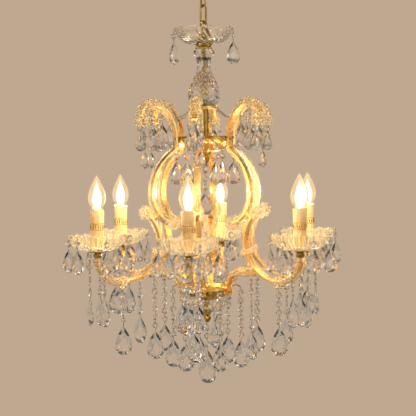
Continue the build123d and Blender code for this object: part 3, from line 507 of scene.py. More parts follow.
def smooth_curve(shares, values, at):
    """Smooth curve through points: between two points a cubic leaves and arrives with the mean slopes."""
    shares, values = np.asarray(shares, float), np.asarray(values, float)
    slopes = np.gradient(values, shares)
    k = np.clip(np.searchsorted(shares, at, side="right") - 1, 0, len(shares) - 2)
    gap = shares[k + 1] - shares[k]
    t = (at - shares[k]) / gap
    start = (1 + 2 * t) * (1 - t) ** 2 * values[k] + t * (1 - t) ** 2 * gap * slopes[k]
    return start + t**2 * (3 - 2 * t) * values[k + 1] - t**2 * (1 - t) * gap * slopes[k + 1]


def triangle(value):
    """Zigzag between 0 and 1 with period 1."""
    return np.abs(2 * (value - np.floor(value)) - 1)


def fade(value, none, full):
    """Even change from 0, where the value is none, to 1, where it is full, and level beyond both."""
    return np.clip((value - none) / (full - none), 0, 1)


def baluster():
    """Radius is the outline less the chevron cut, which fades in below the neck; the bore is straight."""
    _, low, high = width_and_heights("glass_baluster")
    turn, share = circle(PANELS * PANEL_STEPS), column(0, 1, BALUSTER_STEPS)
    panel_turn = PANELS * turn / (2 * pi)
    from_middle = np.abs(panel_turn - np.floor(panel_turn) - 0.5)
    chevron = triangle(share * CHEVRON_ROWS + CHEVRON_SLANT * from_middle)
    chevron = chevron * fade(share, NECK, CHEVRONS_START) * fade(share, 1, CHEVRONS_END)
    flute = (1 - ridge(turn, PANELS)) * fade(share, NECK, FLUTES_END) * fade(share, COLLAR_END, FLUTES_START)
    radius = smooth_curve(*BALUSTER_OUTLINE, share) - CHEVRON_DEPTH * chevron - FLUTE_DEPTH * flute
    side = radius, high + (low - high) * share
    return ring_shape(turn, (BALUSTER_BORE, high), side, (BALUSTER_BORE, low))


piece("baluster_glass", baluster(), CRYSTAL, ["glass_baluster"], 25)

# %% [markdown]
# ## Bars as lines
# The glass on the bars follows the bars, so their lines are worked out first. Each bar is a run of arcs.
# Along an arc the heading turns evenly with the length, so heading against length is a straight line from
# knot to knot, and adding up small steps in that heading gives the points.

# %% Lines of the bars
WAIST_RADIUS, WAIST_LENGTH = 0.061, 0.012
CROWN_BENDS = ((0.072, -54), (0.032, -36), (0.024, -100))
CAGE_BENDS = ((0.025, 54), (0.100, -54), (0.062, -70))
ARM_BENDS = ((0.0501, -97), (0.0855, -46), (0.0745, -39), (0.071, -48))
ROOT_RADIUS, ROOT_RISE, ROOT_BEND, ROOT_MEETS = 0.054, 0.003, (0.030, -72), 0.47
LINE_POINTS = 2001


def bar_line(start, heading, bends):
    """Arrays along a bar in the plane of its arm: length, distance from the axis, height and heading."""
    knots = np.concatenate([[0], np.cumsum([radius * radians(abs(turn)) for radius, turn in bends])])
    headings = np.concatenate([[heading], heading + np.cumsum([turn for _, turn in bends])])
    length = np.linspace(0, knots[-1], LINE_POINTS)
    angle = np.radians(np.interp(length, knots, headings))
    middle, step = (angle[1:] + angle[:-1]) / 2, np.diff(length)
    out = start[0] + np.concatenate([[0], np.cumsum(step * np.cos(middle))])
    up = start[1] + np.concatenate([[0], np.cumsum(step * np.sin(middle))])
    return {"knots": knots, "length": length, "out": out, "up": up, "angle": angle}


def on_bar(line, length):
    """Distance from the axis, height and heading at a length along a bar."""
    return tuple(np.interp(length, line["length"], line[key]) for key in ("out", "up", "angle"))


def off_bar(line, length, away, across):
    """Points round a bar, a row for each length: away goes left of its line, across out of its plane."""
    out, up, angle = (np.reshape(values, (-1, 1)) for values in on_bar(line, length))
    return points_of(out - np.sin(angle) * away, across, up + np.cos(angle) * away)


def at_share(line, edge, share):
    """Length along a bar at a share of one of its arcs."""
    return line["knots"][edge] + share * (line["knots"][edge + 1] - line["knots"][edge])


def root_line():
    """The root bar bends outwards once, then one more arc, tangent to the first, carries it to the arm."""
    foot = ROOT_RADIUS, HUB_TOP - ROOT_RISE
    first = bar_line(foot, 90, [ROOT_BEND])
    meet = np.array(on_bar(ARM, at_share(ARM, 1, ROOT_MEETS))[:2])
    chord = meet - np.array([first["out"][-1], first["up"][-1]])
    lean = np.arctan2(chord[1], chord[0]) - first["angle"][-1]
    radius = np.hypot(*chord) / (2 * abs(sin(lean)))
    return bar_line(foot, 90, [ROOT_BEND, (radius, np.degrees(2 * lean))])


CROWN = bar_line((WAIST_RADIUS, PLATE_TOP), 90, CROWN_BENDS)
CAGE = bar_line((WAIST_RADIUS, PLATE_TOP - WAIST_LENGTH), -90, CAGE_BENDS)
ARM = bar_line((ARM_RADIUS, CUP_LOW), -90, ARM_BENDS)
ROOT = root_line()
CROWN_END, CAGE_END, ARM_END, ROOT_END = (line["length"][-1] for line in (CROWN, CAGE, ARM, ROOT))
print("bar lengths", [round(float(end), 3) for end in (CROWN_END, CAGE_END, ARM_END, ROOT_END)])

# %% [markdown]
# ## Glass on the bars
# Half-round mouldings lie on both faces of each bar and close round it like a tube. The profile is half
# an ellipse with a few shallow flutes. It is carried along the bar's line, and each end closes to a point
# in the middle of its section. The flat back sinks a hair into the gilding: with air behind it, it would
# mirror its surroundings, and the gold would not fill the tube.

# %% Cladding
STRIP_HALF = 0.0015
SHELL_FIT, SHELL_HALF, SHELL_HEIGHT, SHELL_END = 0.0002, 0.0065, 0.007, 0.008
SHELL_SINK, SHELL_STEP, SHELL_STEPS, SHELL_SIDES = 0.0002, 0.004, 8, 25
FLUTE_DIP, SHELL_FLUTES = 0.13, 8
SEAM, ROOT_OUTER, ROOT_INNER = 0.0003, 0.6, 0.3


def cladding(line, start, end, side):
    """Profile: half an ellipse whose reach dips at each flute. Path: the bar's line from start to end."""
    length = np.linspace(start, end, max(SHELL_STEPS, int((end - start) / SHELL_STEP)))
    turn = np.linspace(0, pi, SHELL_SIDES)[None, :]
    reach = 1 - FLUTE_DIP * (1 - ridge(turn, SHELL_FLUTES))
    rise = (SHELL_HEIGHT + SHELL_FIT + SHELL_SINK) * np.sin(turn) * reach
    away = side * (STRIP_HALF - SHELL_SINK + rise)
    return capped(off_bar(line, length, away, SHELL_HALF * np.cos(turn) * reach))


ROOT_LAST = ROOT_END - ROOT["knots"][1]
cage_shells = [cladding(CROWN, SHELL_END, CROWN_END - SHELL_END, side) for side in (1, -1)]
cage_shells += [cladding(CAGE, SHELL_END, CAGE_END - SHELL_END, side) for side in (1, -1)]
arm_shells = [
    cladding(ARM, SHELL_END, ARM_END - SHELL_END, -1),
    cladding(ARM, SHELL_END, ARM["knots"][1] - SEAM, 1),
    cladding(ARM, ARM["knots"][2] + SHELL_END / 2, ARM_END - SHELL_END, 1),
    cladding(ROOT, SHELL_END, ROOT_END - ROOT_OUTER * ROOT_LAST, 1),
    cladding(ROOT, SEAM, ROOT_END - ROOT_INNER * ROOT_LAST, -1),
]
piece("cage_cladding", round_arms(joined(cage_shells)), PRESSED, ["cage_glass"], 50)
piece("arm_cladding", round_arms(joined(arm_shells)), PRESSED, ["arm_glass"], 50)

# %% [markdown]
# ## Rosettes and collars
# Pressed glass rosettes close the free ends of the bars, a pair on each end, and two collars sit on each
# arm. All are covered with small knobs. On a rosette the knobs follow a sunflower's pattern: each stands one
# golden angle on from the last, and the square root of its number sets its distance from the middle.

# %% Rosettes
EYE_REACH = 0.0035
ROSETTE_RADIUS, ROSETTE_DEPTH, ROSETTE_KNOBS, ROSETTE_DOME = 0.0125, 0.005, 22, 1.05
KNOB_RADIUS, KNOB_SIDES, KNOB_BANDS = 0.0033, 6, 4
GOLDEN_ANGLE = pi * (3 - 5**0.5)
COLLAR_HOLE, COLLAR_WALL, COLLAR_KNOBS, COLLAR_STEP = 0.009, 0.0045, 10, 0.0026
COLLARS = ((2, 0.55), (0, 0.93))


def knob():
    """Ball with few sides and bands, so that each of its flat faces catches the light on its own."""
    rise = column(-pi / 2, pi / 2, KNOB_BANDS + 1)
    return grid(KNOB_RADIUS * round_axis(np.cos(rise), circle(KNOB_SIDES), np.sin(rise)))


def knobs_at(places):
    """A knob at each place, each turned one golden angle further."""
    return placed(knob(), turn_z(GOLDEN_ANGLE * np.arange(len(places))), places)


def eye_centre(line):
    """Middle of the rolled eye at a bar's end."""
    out, up, angle = on_bar(line, line["length"][-1])
    return np.array([out + EYE_REACH * np.cos(angle), 0, up + EYE_REACH * np.sin(angle)])


def flowers(line):
    """A pair of rosettes at a bar's end: knobs on a dome in the plane of x and z, and their mirror image."""
    number = np.arange(ROSETTE_KNOBS) + 0.5
    way, turn = np.sqrt(number / ROSETTE_KNOBS), GOLDEN_ANGLE * number
    swell = SHELL_HALF + ROSETTE_DEPTH * np.sqrt(ROSETTE_DOME - way**2)
    face = points_of(ROSETTE_RADIUS * way * np.cos(turn), swell, ROSETTE_RADIUS * way * np.sin(turn))
    return knobs_at(eye_centre(line) + np.concatenate([face, face * [1, -1, 1]]))


def knobs_round_bar(line, lengths, turns, reach):
    """Knobs a reach away from a bar's line, at the turns of each length; turn 0 is left of the line."""
    return knobs_at(off_bar(line, lengths, reach * np.cos(turns), reach * np.sin(turns)).reshape(-1, 3))


def collar(edge, share):
    """Two rows of knobs round an arm, the second half a step on from the first."""
    lengths = at_share(ARM, edge, share) + np.array([-COLLAR_STEP, COLLAR_STEP])
    turns = 2 * pi / COLLAR_KNOBS * (np.arange(COLLAR_KNOBS)[None, :] + np.array([[0.0], [0.5]]))
    return knobs_round_bar(ARM, lengths, turns, COLLAR_HOLE + COLLAR_WALL - KNOB_RADIUS)


ornaments = [flowers(line) for line in (CROWN, CAGE, ARM)] + [collar(*place) for place in COLLARS]
piece("rosette_flowers", round_arms(joined(ornaments)), CLOUDED, ["rosettes"], 0)

# %% [markdown]
# ## Turned and embossed metal
# The candle cups are small turnings: a ball, a waist and a flared saucer. The upper plate is a thin disc
# with a lug behind each bar, so the gilt bowl shows under its edge. The bowl is embossed with a net of
# lozenges: its radius gets a small zigzag in two slanted directions.

# %% Cups, plate and bowl
CUP_RADII = (
    *(0.0045, 0.0066, 0.0086, 0.0078, 0.0062, 0.0098, 0.0168),
    *(0.0180, 0.0172, 0.0100, 0.0052, 0.0049, 0.0049),
)
CUP_HEIGHTS = (
    *(0.0, 0.0008, 0.0045, 0.0075, 0.0088, 0.0108, 0.0122),
    *(0.0131, 0.0139, 0.0137, 0.0138, 0.0200, 0.0355),
)
PLATE_EDGE, LUG_TURN, LUG_WALL, PAN_RIM, PAN_SIDES = 0.004, 0.11, 0.0045, 0.0024, 240
NET_REPEATS, NET_SLANT, NET_HEIGHT, NET_STEPS, NET_ROWS = 12, 2, 0.003, 12, 60
NET_START, NET_END = 1 / 6, 7 / 8
BOWL_FOOT, BOWL_WALL = 0.020, 0.0016


def turning(radii, heights, sides=48, steps=60):
    """Smooth outline through points of radius and height, turned about the axis and closed at both ends."""
    share, at = np.linspace(0, 1, len(radii)), column(0, 1, steps)
    radius, z = (smooth_curve(share, values, at) for values in (radii, heights))
    return capped(round_axis(np.maximum(radius, 0), circle(sides), z))


def pan_with_lugs(radius, low, high, edge, hole, sunk):
    """Disc whose edge hangs down by a bump in the turn round each arm; the profile runs over it and back. Its
    top is sunk inside the rim."""
    turn = circle(PAN_SIDES)
    apart = np.angle(np.exp(6j * (turn - ARM_TURNS[0]))) / 6
    lip = edge - (edge - low) * np.exp(-((apart / LUG_TURN) ** 4))
    inside, floor, bevel = radius - LUG_WALL, high - sunk, PAN_RIM / 2
    over = (hole, floor), (inside, floor), (radius - PAN_RIM, high), (radius - bevel, high)
    back = (radius, high - bevel), (radius, lip), (inside, lip), (inside, edge), (hole, edge)
    return ring_shape(turn, *over, *back)


def embossed_bowl(radius, low, high, foot, hole):
    """Quarter of an ellipse from foot to rim, with a net of raised lozenges, closed by a thin inner wall."""
    turn, way = circle(NET_REPEATS * NET_STEPS), column(0, 1, NET_ROWS)
    around = NET_REPEATS * turn / (2 * pi)
    net = np.minimum(triangle(around + NET_SLANT * way), triangle(around - NET_SLANT * way))
    raised = NET_HEIGHT * net * fade(way, 0, NET_START) * fade(way, 1, NET_END)
    out, up = np.sin(pi / 2 * way), 1 - np.cos(pi / 2 * way)
    side = foot + (radius - foot - NET_HEIGHT / 2) * out
    z = low + (high - low) * up
    outside = side + raised * out - NET_HEIGHT / 2, z
    inside = (side - NET_HEIGHT - BOWL_WALL * out)[::-1], (z + BOWL_WALL * (1 - up))[::-1]
    return ring_shape(turn, (hole, low), outside, inside, (hole, low + BOWL_WALL))


cup = turning(CUP_RADII, np.array(CUP_HEIGHTS) + CUP_LOW)
plate = pan_with_lugs(PLATE_RADIUS, PLATE_LOW, PLATE_TOP, PLATE_TOP - PLATE_EDGE, STEM_HOLE, 0)
bowl = embossed_bowl(*width_and_heights("upper_bowl"), BOWL_FOOT, STEM_HOLE)
piece("candle_cups_turned", at_candles(cup), BRASS, ["candle_cups"], 50)
piece("upper_plate_lugs", plate, BRASS, ["upper_plate"], 40)
piece("upper_bowl_relief", bowl, DEEP_GILT, ["upper_bowl"], 50)

# %% [markdown]
# ## Lower hub and screws
# A shallow gilt rim under the cage has a lug behind each root bar, as the upper plate has. A brass bowl
# with the same net of lozenges hangs inside it. Six hooks of round wire arch from the rim to the
# strings between the arms. Small domed screws hold the bars, and a pin with round ends joins each pair of
# rosettes.

# %% Hub and screws
HOOK_START, HOOK_REACH, HOOK_WIRE, HOOK_STEPS, HOOK_SIDES = 0.0505, 0.0685, 0.0011, 14, 8
HOOK_ARCH, HOOK_DROP, HOOK_FALL = 0.004, 0.0018, 0.0015
HUB_RADIUS, HUB_LUG, HUB_EDGE, HUB_SUNK, HUB_HOLE = 0.0524, 0.0195, 0.008, 0.0065, 0.0045
NET_RADIUS, NET_FOOT, NET_LOW, NET_HIGH, RIM_HOLE = 0.041, 0.020, 0.028, 0.0072, 0.037
DOME_OUTLINE = ((0.0028, 0.0028, 0.0017, 0.0), (0.0, 0.0008, 0.0018, 0.002))
PIN_RADIUS, PIN_HALF, PIN_ROUND = 0.0019, SHELL_HALF + 0.0003 + ROSETTE_DEPTH, 0.0008
PIN_SIDE = PIN_HALF - PIN_ROUND
PIN_OUTLINE = ((0, PIN_RADIUS, PIN_RADIUS, 0), (-PIN_HALF, -PIN_SIDE, PIN_SIDE, PIN_HALF))
ROOT_SCREW_DROP = 0.0075
OUTWARDS = np.array([[[0, 0, 1.0], [0, 1.0, 0], [-1.0, 0, 0]]])
ACROSS = np.array([[[1.0, 0, 0], [0, 0, -1.0], [0, 1.0, 0]]])


def wire_hook():
    """Round wire on a path that runs out from the hub's lip and arches by half a sine."""
    way, small = column(0, 1, HOOK_STEPS), circle(HOOK_SIDES)
    reach = HOOK_REACH - HOOK_START
    slope = np.arctan2(HOOK_ARCH * pi * np.cos(pi * way) - HOOK_FALL, reach)
    away = HOOK_WIRE * np.cos(small)
    x = HOOK_START + reach * way - np.sin(slope) * away
    z = HUB_TOP - HOOK_DROP - HOOK_FALL * way + HOOK_ARCH * np.sin(pi * way) + np.cos(slope) * away
    return capped(points_of(x, HOOK_WIRE * np.sin(small), z))


hub_pan = pan_with_lugs(HUB_RADIUS, HUB_TOP - HUB_LUG, HUB_TOP, HUB_TOP - HUB_EDGE, RIM_HOLE, HUB_SUNK)
hub_net = embossed_bowl(NET_RADIUS, HUB_TOP - NET_LOW, HUB_TOP - NET_HIGH, NET_FOOT, HUB_HOLE)
hub_brass = joined([hub_net, round_arms(wire_hook(), BETWEEN_TURNS)])
piece("lower_hub_pan", hub_pan, DEEP_GILT, ["lower_hub"], 40)
piece("lower_hub_net", hub_brass, BRASS, ["lower_hub"], 50)

screw_places = [
    [WAIST_RADIUS + STRIP_HALF, 0, PLATE_TOP - WAIST_LENGTH / 2],
    [ROOT_RADIUS + STRIP_HALF, 0, HUB_TOP - ROOT_RISE - ROOT_SCREW_DROP],
]
screws = [placed(turning(*DOME_OUTLINE, 16, 12), OUTWARDS, [place]) for place in screw_places]
screws += [placed(turning(*PIN_OUTLINE, 12, 24), ACROSS, [eye_centre(line)]) for line in (CROWN, CAGE, ARM)]
piece("frame_screw_heads", round_arms(joined(screws)), BRASS, ["frame_screws"], 50)

# %% [markdown]
# ## Candles
# A card sleeve hides each lampholder. Its top edge is dressed as melted wax: the rim rises and falls
# round the candle, and a few runs of wax stand proud and thin out downwards. A brass fret circles it: short
# upright bars between two thin hoops.

# %% Candle sleeves
SLEEVE_RADIUS, SLEEVE_WALL, SLEEVE_EDGE, SLEEVE_SIDES, SLEEVE_ROWS = 0.014, 0.0012, 0.0004, 72, 40
SLEEVE_FLUTES, SLEEVE_FLUTE_DEPTH = 10, 0.0004
RUNS = ((0.4, 0.016), (2.1, 0.010), (3.3, 0.022), (4.9, 0.013))
RUN_TURN, RUN_END, WAX, WAX_WAVE, LIP_SHARE, LIP_DEPTH = 0.22, 0.0012, 0.0008, 0.0012, 0.6, 0.0025
FRET_LOW, FRET_HIGH, FRET_BARS, FRET_SINK = 0.0375, 0.0495, 18, 0.0006
FRET_BAR_TURN, FRET_BAR_SHARE, FRET_WIRE, HOOP_WIRE = 0.045, 0.36, 0.0005, 0.0006


def candle_sleeve():
    """Tube whose top follows slow waves round the turn; each run is a bump in turn that fades with depth."""
    turn, length = circle(SLEEVE_SIDES), SLEEVE_HIGH.z - SLEEVE_LOW.z
    depth = length * column(0, 1, SLEEVE_ROWS) ** 1.6
    top = SLEEVE_HIGH.z - WAX_WAVE + WAX_WAVE * np.cos(turn - RUNS[0][0]) * np.cos(1.5 * np.sin(turn))
    wax = LIP_SHARE * np.exp(-depth / LIP_DEPTH)
    for at, reach in RUNS:
        apart = np.angle(np.exp(1j * (turn - at)))
        wax = wax + np.exp(-((apart / RUN_TURN) ** 2)) / (1 + np.exp((depth - reach) / RUN_END))
    flute = SLEEVE_FLUTE_DEPTH * (1 - ridge(turn, SLEEVE_FLUTES))
    side = SLEEVE_RADIUS - WAX - flute + WAX * np.clip(wax, 0, 1), top - depth * (top - SLEEVE_LOW.z) / length
    inside = SLEEVE_RADIUS - SLEEVE_WALL - SLEEVE_EDGE
    return ring_shape(turn, (inside, top - SLEEVE_EDGE), side, (inside, SLEEVE_LOW.z))


def ring_bar(radius, middle, half_turn, half_height, steps):
    """Closed strip on the sleeve: a small ellipse in radius and height, carried through a stretch of turn."""
    closed, small = half_turn >= pi, circle(8)
    turn = np.linspace(-half_turn, half_turn, steps, endpoint=not closed)[:, None]
    points = round_axis(radius + FRET_WIRE * np.cos(small), turn, middle + half_height * np.sin(small))
    return grid(points, wrap_rows=True) if closed else capped(points)


def fret():
    """Two hoops, and bars at even turns between them."""
    low, high = SLEEVE_LOW.z + FRET_LOW, SLEEVE_LOW.z + FRET_HIGH
    radius = SLEEVE_RADIUS - FRET_SINK
    bar = ring_bar(radius, (low + high) / 2, FRET_BAR_TURN, FRET_BAR_SHARE * (high - low), 4)
    hoops = [ring_bar(radius, z, pi, HOOP_WIRE, 60) for z in (low, high)]
    return joined(hoops + [round_arms(bar, circle(FRET_BARS)[0])])


piece("candle_sleeves_wax", at_candles(candle_sleeve()), CANDLE, ["candle_sleeves"], 60)
piece("candle_frets", at_candles(fret()), BRASS)

# %% [markdown]
# ## Bulbs
# Each bulb is a thin clear flame with a bright heart, screwed into its holder. The glass has an outer and
# an inner wall, because a solid one would act as a lens. The heart is a slimmer flame inside it. The cap
# below is brass with a rolled thread. All three turn with the bulb's own joint.

# %% Bulbs
BULB_OUTLINE = (
    (0.0, 0.14, 0.32, 0.56, 0.78, 0.95, 1.0),
    (0.0090, 0.0150, 0.0175, 0.0147, 0.0084, 0.0025, 0.0),
)
HEART_OUTLINE = (0.0, 0.15, 0.38, 0.62, 0.84, 1.0), (0.0034, 0.0068, 0.0088, 0.0062, 0.0024, 0.0)
BULB_WALL, HEART_SINK, HEART_LENGTH = 0.0006, 0.001, 0.052
CAP_RADIUS, CAP_WIDENS, CAP_SINK, THREAD_PITCH, THREAD_HEIGHT = 0.0064, 0.0022, 0.0022, 0.003, 0.0004
THREAD_FULL, THREAD_END, NECK_START, NECK_END = 0.017, 0.019, 0.02, 0.028


def bulb_glass():
    """Outer flame from the neck to the tip, then the same flame one wall smaller back to the neck."""
    share = np.sin(column(0, pi / 2, 40))
    radius = np.maximum(smooth_curve(*BULB_OUTLINE, share), 0)
    z = SLEEVE_HIGH.z + (BULB_HIGH.z - SLEEVE_HIGH.z) * share
    inside = np.maximum(radius[::-1] - BULB_WALL, 0), np.minimum(z[::-1], BULB_HIGH.z - BULB_WALL)
    return ring_shape(circle(48), (radius, z), inside)


def bulb_heart():
    """Slim flame closed at both ends."""
    share = column(0, 1, 28)
    radius = np.maximum(smooth_curve(*HEART_OUTLINE, share), 0)
    return capped(round_axis(radius, circle(32), SLEEVE_HIGH.z - HEART_SINK + HEART_LENGTH * share))


def bulb_cap():
    """Cap whose radius ripples with height plus turn, so that the ripple climbs as a screw thread."""
    turn, z = circle(32), column(BULB_LOW.z, SLEEVE_HIGH.z - CAP_SINK, 60)
    rise = z - BULB_LOW.z
    thread = np.sin(2 * pi * z / THREAD_PITCH - turn) * fade(rise, THREAD_END, THREAD_FULL)
    radius = CAP_RADIUS + THREAD_HEIGHT * thread + CAP_WIDENS * fade(rise, NECK_START, NECK_END)
    return capped(round_axis(radius, turn, z))


for number, turn, _, place in ARMS:
    body, spin = f"bulb_{number}", turn_z(turn)
    flame, heart, cap = (placed(shape(), spin, [place]) for shape in (bulb_glass, bulb_heart, bulb_cap))
    piece(f"{body}_glass", flame, BULB_GLASS, [body], 60, body)
    piece(f"{body}_heart", heart, HEART, (), 60, body)
    piece(f"{body}_cap", cap, BRASS, (), 60, body)

# %% [markdown]
# ## Crystals
# Two cuts make up every string: an eight-sided star bead and a pear-shaped drop. Both are flat-faced, and
# the faces do the sparkling, so each cut is only a few rings of points joined by flat facets. A little
# wire oval links one stone to the next.

# %% Crystal cuts
BEAD_LENGTH, BEAD_WIDTH, BEAD_FLATNESS, DROP_FLATNESS = 0.013, 0.012, 0.6, 0.36
BEAD_RINGS = ((0.0, -0.5, 0.0), (0.35, -0.40, 0.5), (1.0, -0.05, 0.0))
DROP_RINGS = ((0.34, 0.5, 0.0), (0.66, 0.36, 0.5), (1.0, 0.06, 0.0))
DROP_SIDES, DROP_WIDEST, DROP_MIDDLE = 16, 0.77, 0.62
FORWARD, BACK, LEVEL = ((0, 1, 3), (1, 2, 3)), ((0, 2, 3), (0, 1, 2)), ((0, 1, 2, 3),)
LARGE, MEDIUM, SMALL, LOWEST = (0.056, 0.034), (0.046, 0.028), (0.034, 0.020), (0.068, 0.038)


def both_sides(rings):
    """Columns of size, depth and step for rings of (size, depth, step), and for the same again behind."""
    behind = tuple((size, -depth, step) for size, depth, step in rings[::-1])
    return (values[:, None] for values in np.transpose(rings + behind))


def star_bead(width, length):
    """Eight-sided rings from point to point: a crown ring half a step on, the girdle's two edges, and the
    same again behind."""
    size, depth, step = both_sides(BEAD_RINGS)
    corner = 0.5 / cos(pi / 8)
    turn = (np.arange(8)[None, :] + 0.5 + step) * pi / 4
    y, z = width * corner * size * np.cos(turn), length * corner * size * np.sin(turn)
    return grid(points_of(BEAD_FLATNESS * width * depth, y, z))


def pear_drop(length, width):
    """Outline: z falls with 1 - cos t, y is sin t times sin t/2. Inner rings shrink, half a step on. Between
    two rings each four-cornered face is split forwards, backwards or not at all."""
    size, depth, step = both_sides(DROP_RINGS)
    corner = np.arange(DROP_SIDES)
    t = 2 * pi * (corner[None, :] + 0.5 + step) / DROP_SIDES
    y = width / 2 / DROP_WIDEST * np.sin(t) * np.sin(t / 2) * size
    z = -length * (DROP_MIDDLE + size * ((1 - np.cos(t)) / 2 - DROP_MIDDLE))
    points, (faces,) = grid(points_of(DROP_FLATNESS * width * depth, y, z))
    facets = [corner[None, :], corner[None, :] + 5 * DROP_SIDES]
    for band, splits in enumerate((FORWARD, BACK, LEVEL, FORWARD, BACK)):
        quads = faces[band * DROP_SIDES : (band + 1) * DROP_SIDES]
        facets += [quads[:, split] for split in splits]
    return points, facets


def wire_oval(length, width=0.0026, wire=0.0007):
    """Oval path in the plane of y and z with a small circle carried round it."""
    t, small = circle(8).T, circle(4)
    ny, nz = length * np.sin(t), width * np.cos(t)
    size = np.hypot(ny, nz)
    y = width / 2 * np.sin(t) + wire / 2 * np.cos(small) * ny / size
    z = length / 2 * np.cos(t) + wire / 2 * np.cos(small) * nz / size
    return grid(points_of(wire / 2 * np.sin(small), y, z), wrap_rows=True)


# %% [markdown]
# ## Where the strings hang
# Strings hang from the crown scrolls, the upper plate, the arms, the root bars, the saucers, the dishes
# and the two finials. Each entry says where it starts, how many beads it has, which drop ends it and how
# long its first wire is. Each crown tip has two small drops more, one on each side.

# %% Places of the strings
PIN_LENGTH, TOUCH = 0.004, 0.0003
FACE_REACH = STRIP_HALF + SHELL_FIT + SHELL_HEIGHT + TOUCH
FRONT, FRONT_SPREAD, CUP_SPREAD = radians(-82), 1.0, 0.5
TIP_SPREAD, TIP_DROP, TIP_SIDE_DROP, FLANK_GAP = 0.085, 0.0053, 0.001, 0.0008
PLATE_REACH, SAUCER_REACH, RIM_REACH, DISH_REACH = 0.05715, 0.0164, 0.0571, 0.0591
strings = {}


def beside(line, edge, share, side, reach=FACE_REACH):
    """Point beside a bar, as (distance from the axis, height): side 1 is left of the line."""
    return off_bar(line, at_share(line, edge, share), side * reach, 0)[0, 0, [0, 2]]


def hang(node, radius, z, turn, beads, drop, lead=PIN_LENGTH, centre=(0, 0), faces=(FRONT, FRONT_SPREAD)):
    """Adds a string at a distance and turn from a centre. Its stones face one way, within a spread."""
    place = np.array([centre[0] + radius * cos(turn), centre[1] + radius * sin(turn), z])
    strings.setdefault(node, []).append((place, beads, drop, lead, faces))


tip = (eye_centre(CROWN)[0], eye_centre(CROWN)[2] - TIP_DROP)
plate_edge = PLATE_TOP - PLATE_EDGE - TOUCH
crown_top = beside(CROWN, 2, 0.12, -1)
crown_flank = beside(CROWN, 0, 0.86, -1) + [FLANK_GAP, 0]
arm_low = beside(ARM, 0, COLLARS[1][1], 1, COLLAR_HOLE + COLLAR_WALL + TOUCH)
root_low = beside(ROOT, 1, 0.55, -1)
saucer_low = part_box("cup_string_1")[1].z
rim_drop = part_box("bobeche_drops")[1].z
for number, turn, between, place in ARMS:
    hang("upper_drops", *tip, turn, 0, MEDIUM, 2 * PIN_LENGTH)
    hang("upper_drops", *crown_top, turn, 2, MEDIUM)
    hang("upper_drops", *crown_flank, turn, 1, MEDIUM)
    hang("upper_drops", PLATE_REACH, plate_edge, between, 2, MEDIUM, plate_edge - PLATE_LOW + PIN_LENGTH)
    for side, beads in ((-TIP_SPREAD, 1), (TIP_SPREAD, 3)):
        hang("upper_drops", tip[0], tip[1] - TIP_SIDE_DROP, turn + side, beads, SMALL)
    hang("arm_strings", *arm_low, turn, 4, LARGE)
    hang("arm_strings", *root_low, turn, 6, LARGE)
    for away in (-120, 120):
        hang("arm_strings", SAUCER_REACH, saucer_low, turn + radians(away), 5, LARGE, centre=place)
    hang("arm_strings", HOOK_REACH, HUB_TOP - HOOK_DROP - HOOK_FALL, between, 6, LARGE)
    for away in range(30, 360, 60):
        hang("bobeche_drops", RIM_REACH, rim_drop, turn + radians(away), 1, MEDIUM, 2 * PIN_LENGTH, place)
    outwards = (turn, CUP_SPREAD)
    hang(f"cup_string_{number}", SAUCER_REACH, saucer_low, turn, 5, LARGE, centre=place, faces=outwards)
for number, degrees in enumerate((8, 188), 1):
    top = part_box(f"dish_drop_{number}")[1].z
    hang(f"dish_drop_{number}", DISH_REACH, top, radians(degrees), 1, MEDIUM, 2 * PIN_LENGTH)
hang("centre_string", 0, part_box("centre_string")[1].z, 0, 3, MEDIUM)
hang("bottom_string", 0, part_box("bottom_string")[1].z, 0, 3, LOWEST)
print("strings", sum(len(entries) for entries in strings.values()))

# %% [markdown]
# ## Stringing
# One pass down each string lists where its beads, wire ovals and drop go. Most stones face the front, those
# under the cups face outwards so that they can swing, and a seeded turn lets neighbours catch the light
# differently. All stones of one cut are then copied at once by their matrices, and each node's stones become
# one piece, with its wires as another.

# %% Stones and wires
SWAY = np.random.default_rng(11)
BEAD_SPREAD, DROP_SPREAD = 0.6, 0.25
OVAL_OVERLAP = 0.003
FRAME_STRINGS = {"upper_drops", "arm_strings", "bobeche_drops"}


def stones_and_wires(entries):
    """Places and turns of beads, drops and wire ovals, counted down each string from its hook."""
    beads, drops, wires = [], [], []
    for place, count, drop, lead, (facing, spread) in entries:
        turn = facing + SWAY.uniform(-spread, spread)
        down, gap = 0.0, lead
        for _ in range(count):
            wires.append((place - [0, 0, down + gap / 2], turn + pi / 2, gap))
            stone_turn = turn + SWAY.uniform(-BEAD_SPREAD, BEAD_SPREAD)
            beads.append((place - [0, 0, down + gap + BEAD_LENGTH / 2], stone_turn))
            down, gap = down + gap + BEAD_LENGTH, PIN_LENGTH
        wires.append((place - [0, 0, down + gap / 2], turn + pi / 2, gap))
        drops.append((place - [0, 0, down + gap], turn + SWAY.uniform(-DROP_SPREAD, DROP_SPREAD), drop))
    return beads, drops, wires


def copies(shape, rows):
    """Copies of a shape at the (place, turn) of each row."""
    return placed(shape, turn_z(np.array([row[1] for row in rows])), np.array([row[0] for row in rows]))


for node, entries in strings.items():
    beads, drops, wires = stones_and_wires(entries)
    stones, ovals = [], []
    for size in sorted({row[2] for row in drops}):
        stones.append(copies(pear_drop(*size), [row for row in drops if row[2] == size]))
    if beads:
        stones.append(copies(star_bead(BEAD_WIDTH, BEAD_LENGTH), beads))
    for gap in sorted({row[2] for row in wires}):
        ovals.append(copies(wire_oval(gap + OVAL_OVERLAP), [row for row in wires if row[2] == gap]))
    body = "frame" if node in FRAME_STRINGS else node
    piece(f"{node}_crystal", joined(stones), CRYSTAL, [node], 0, body)
    piece(f"{node}_wire", joined(ovals), BRASS, (), 60, body)

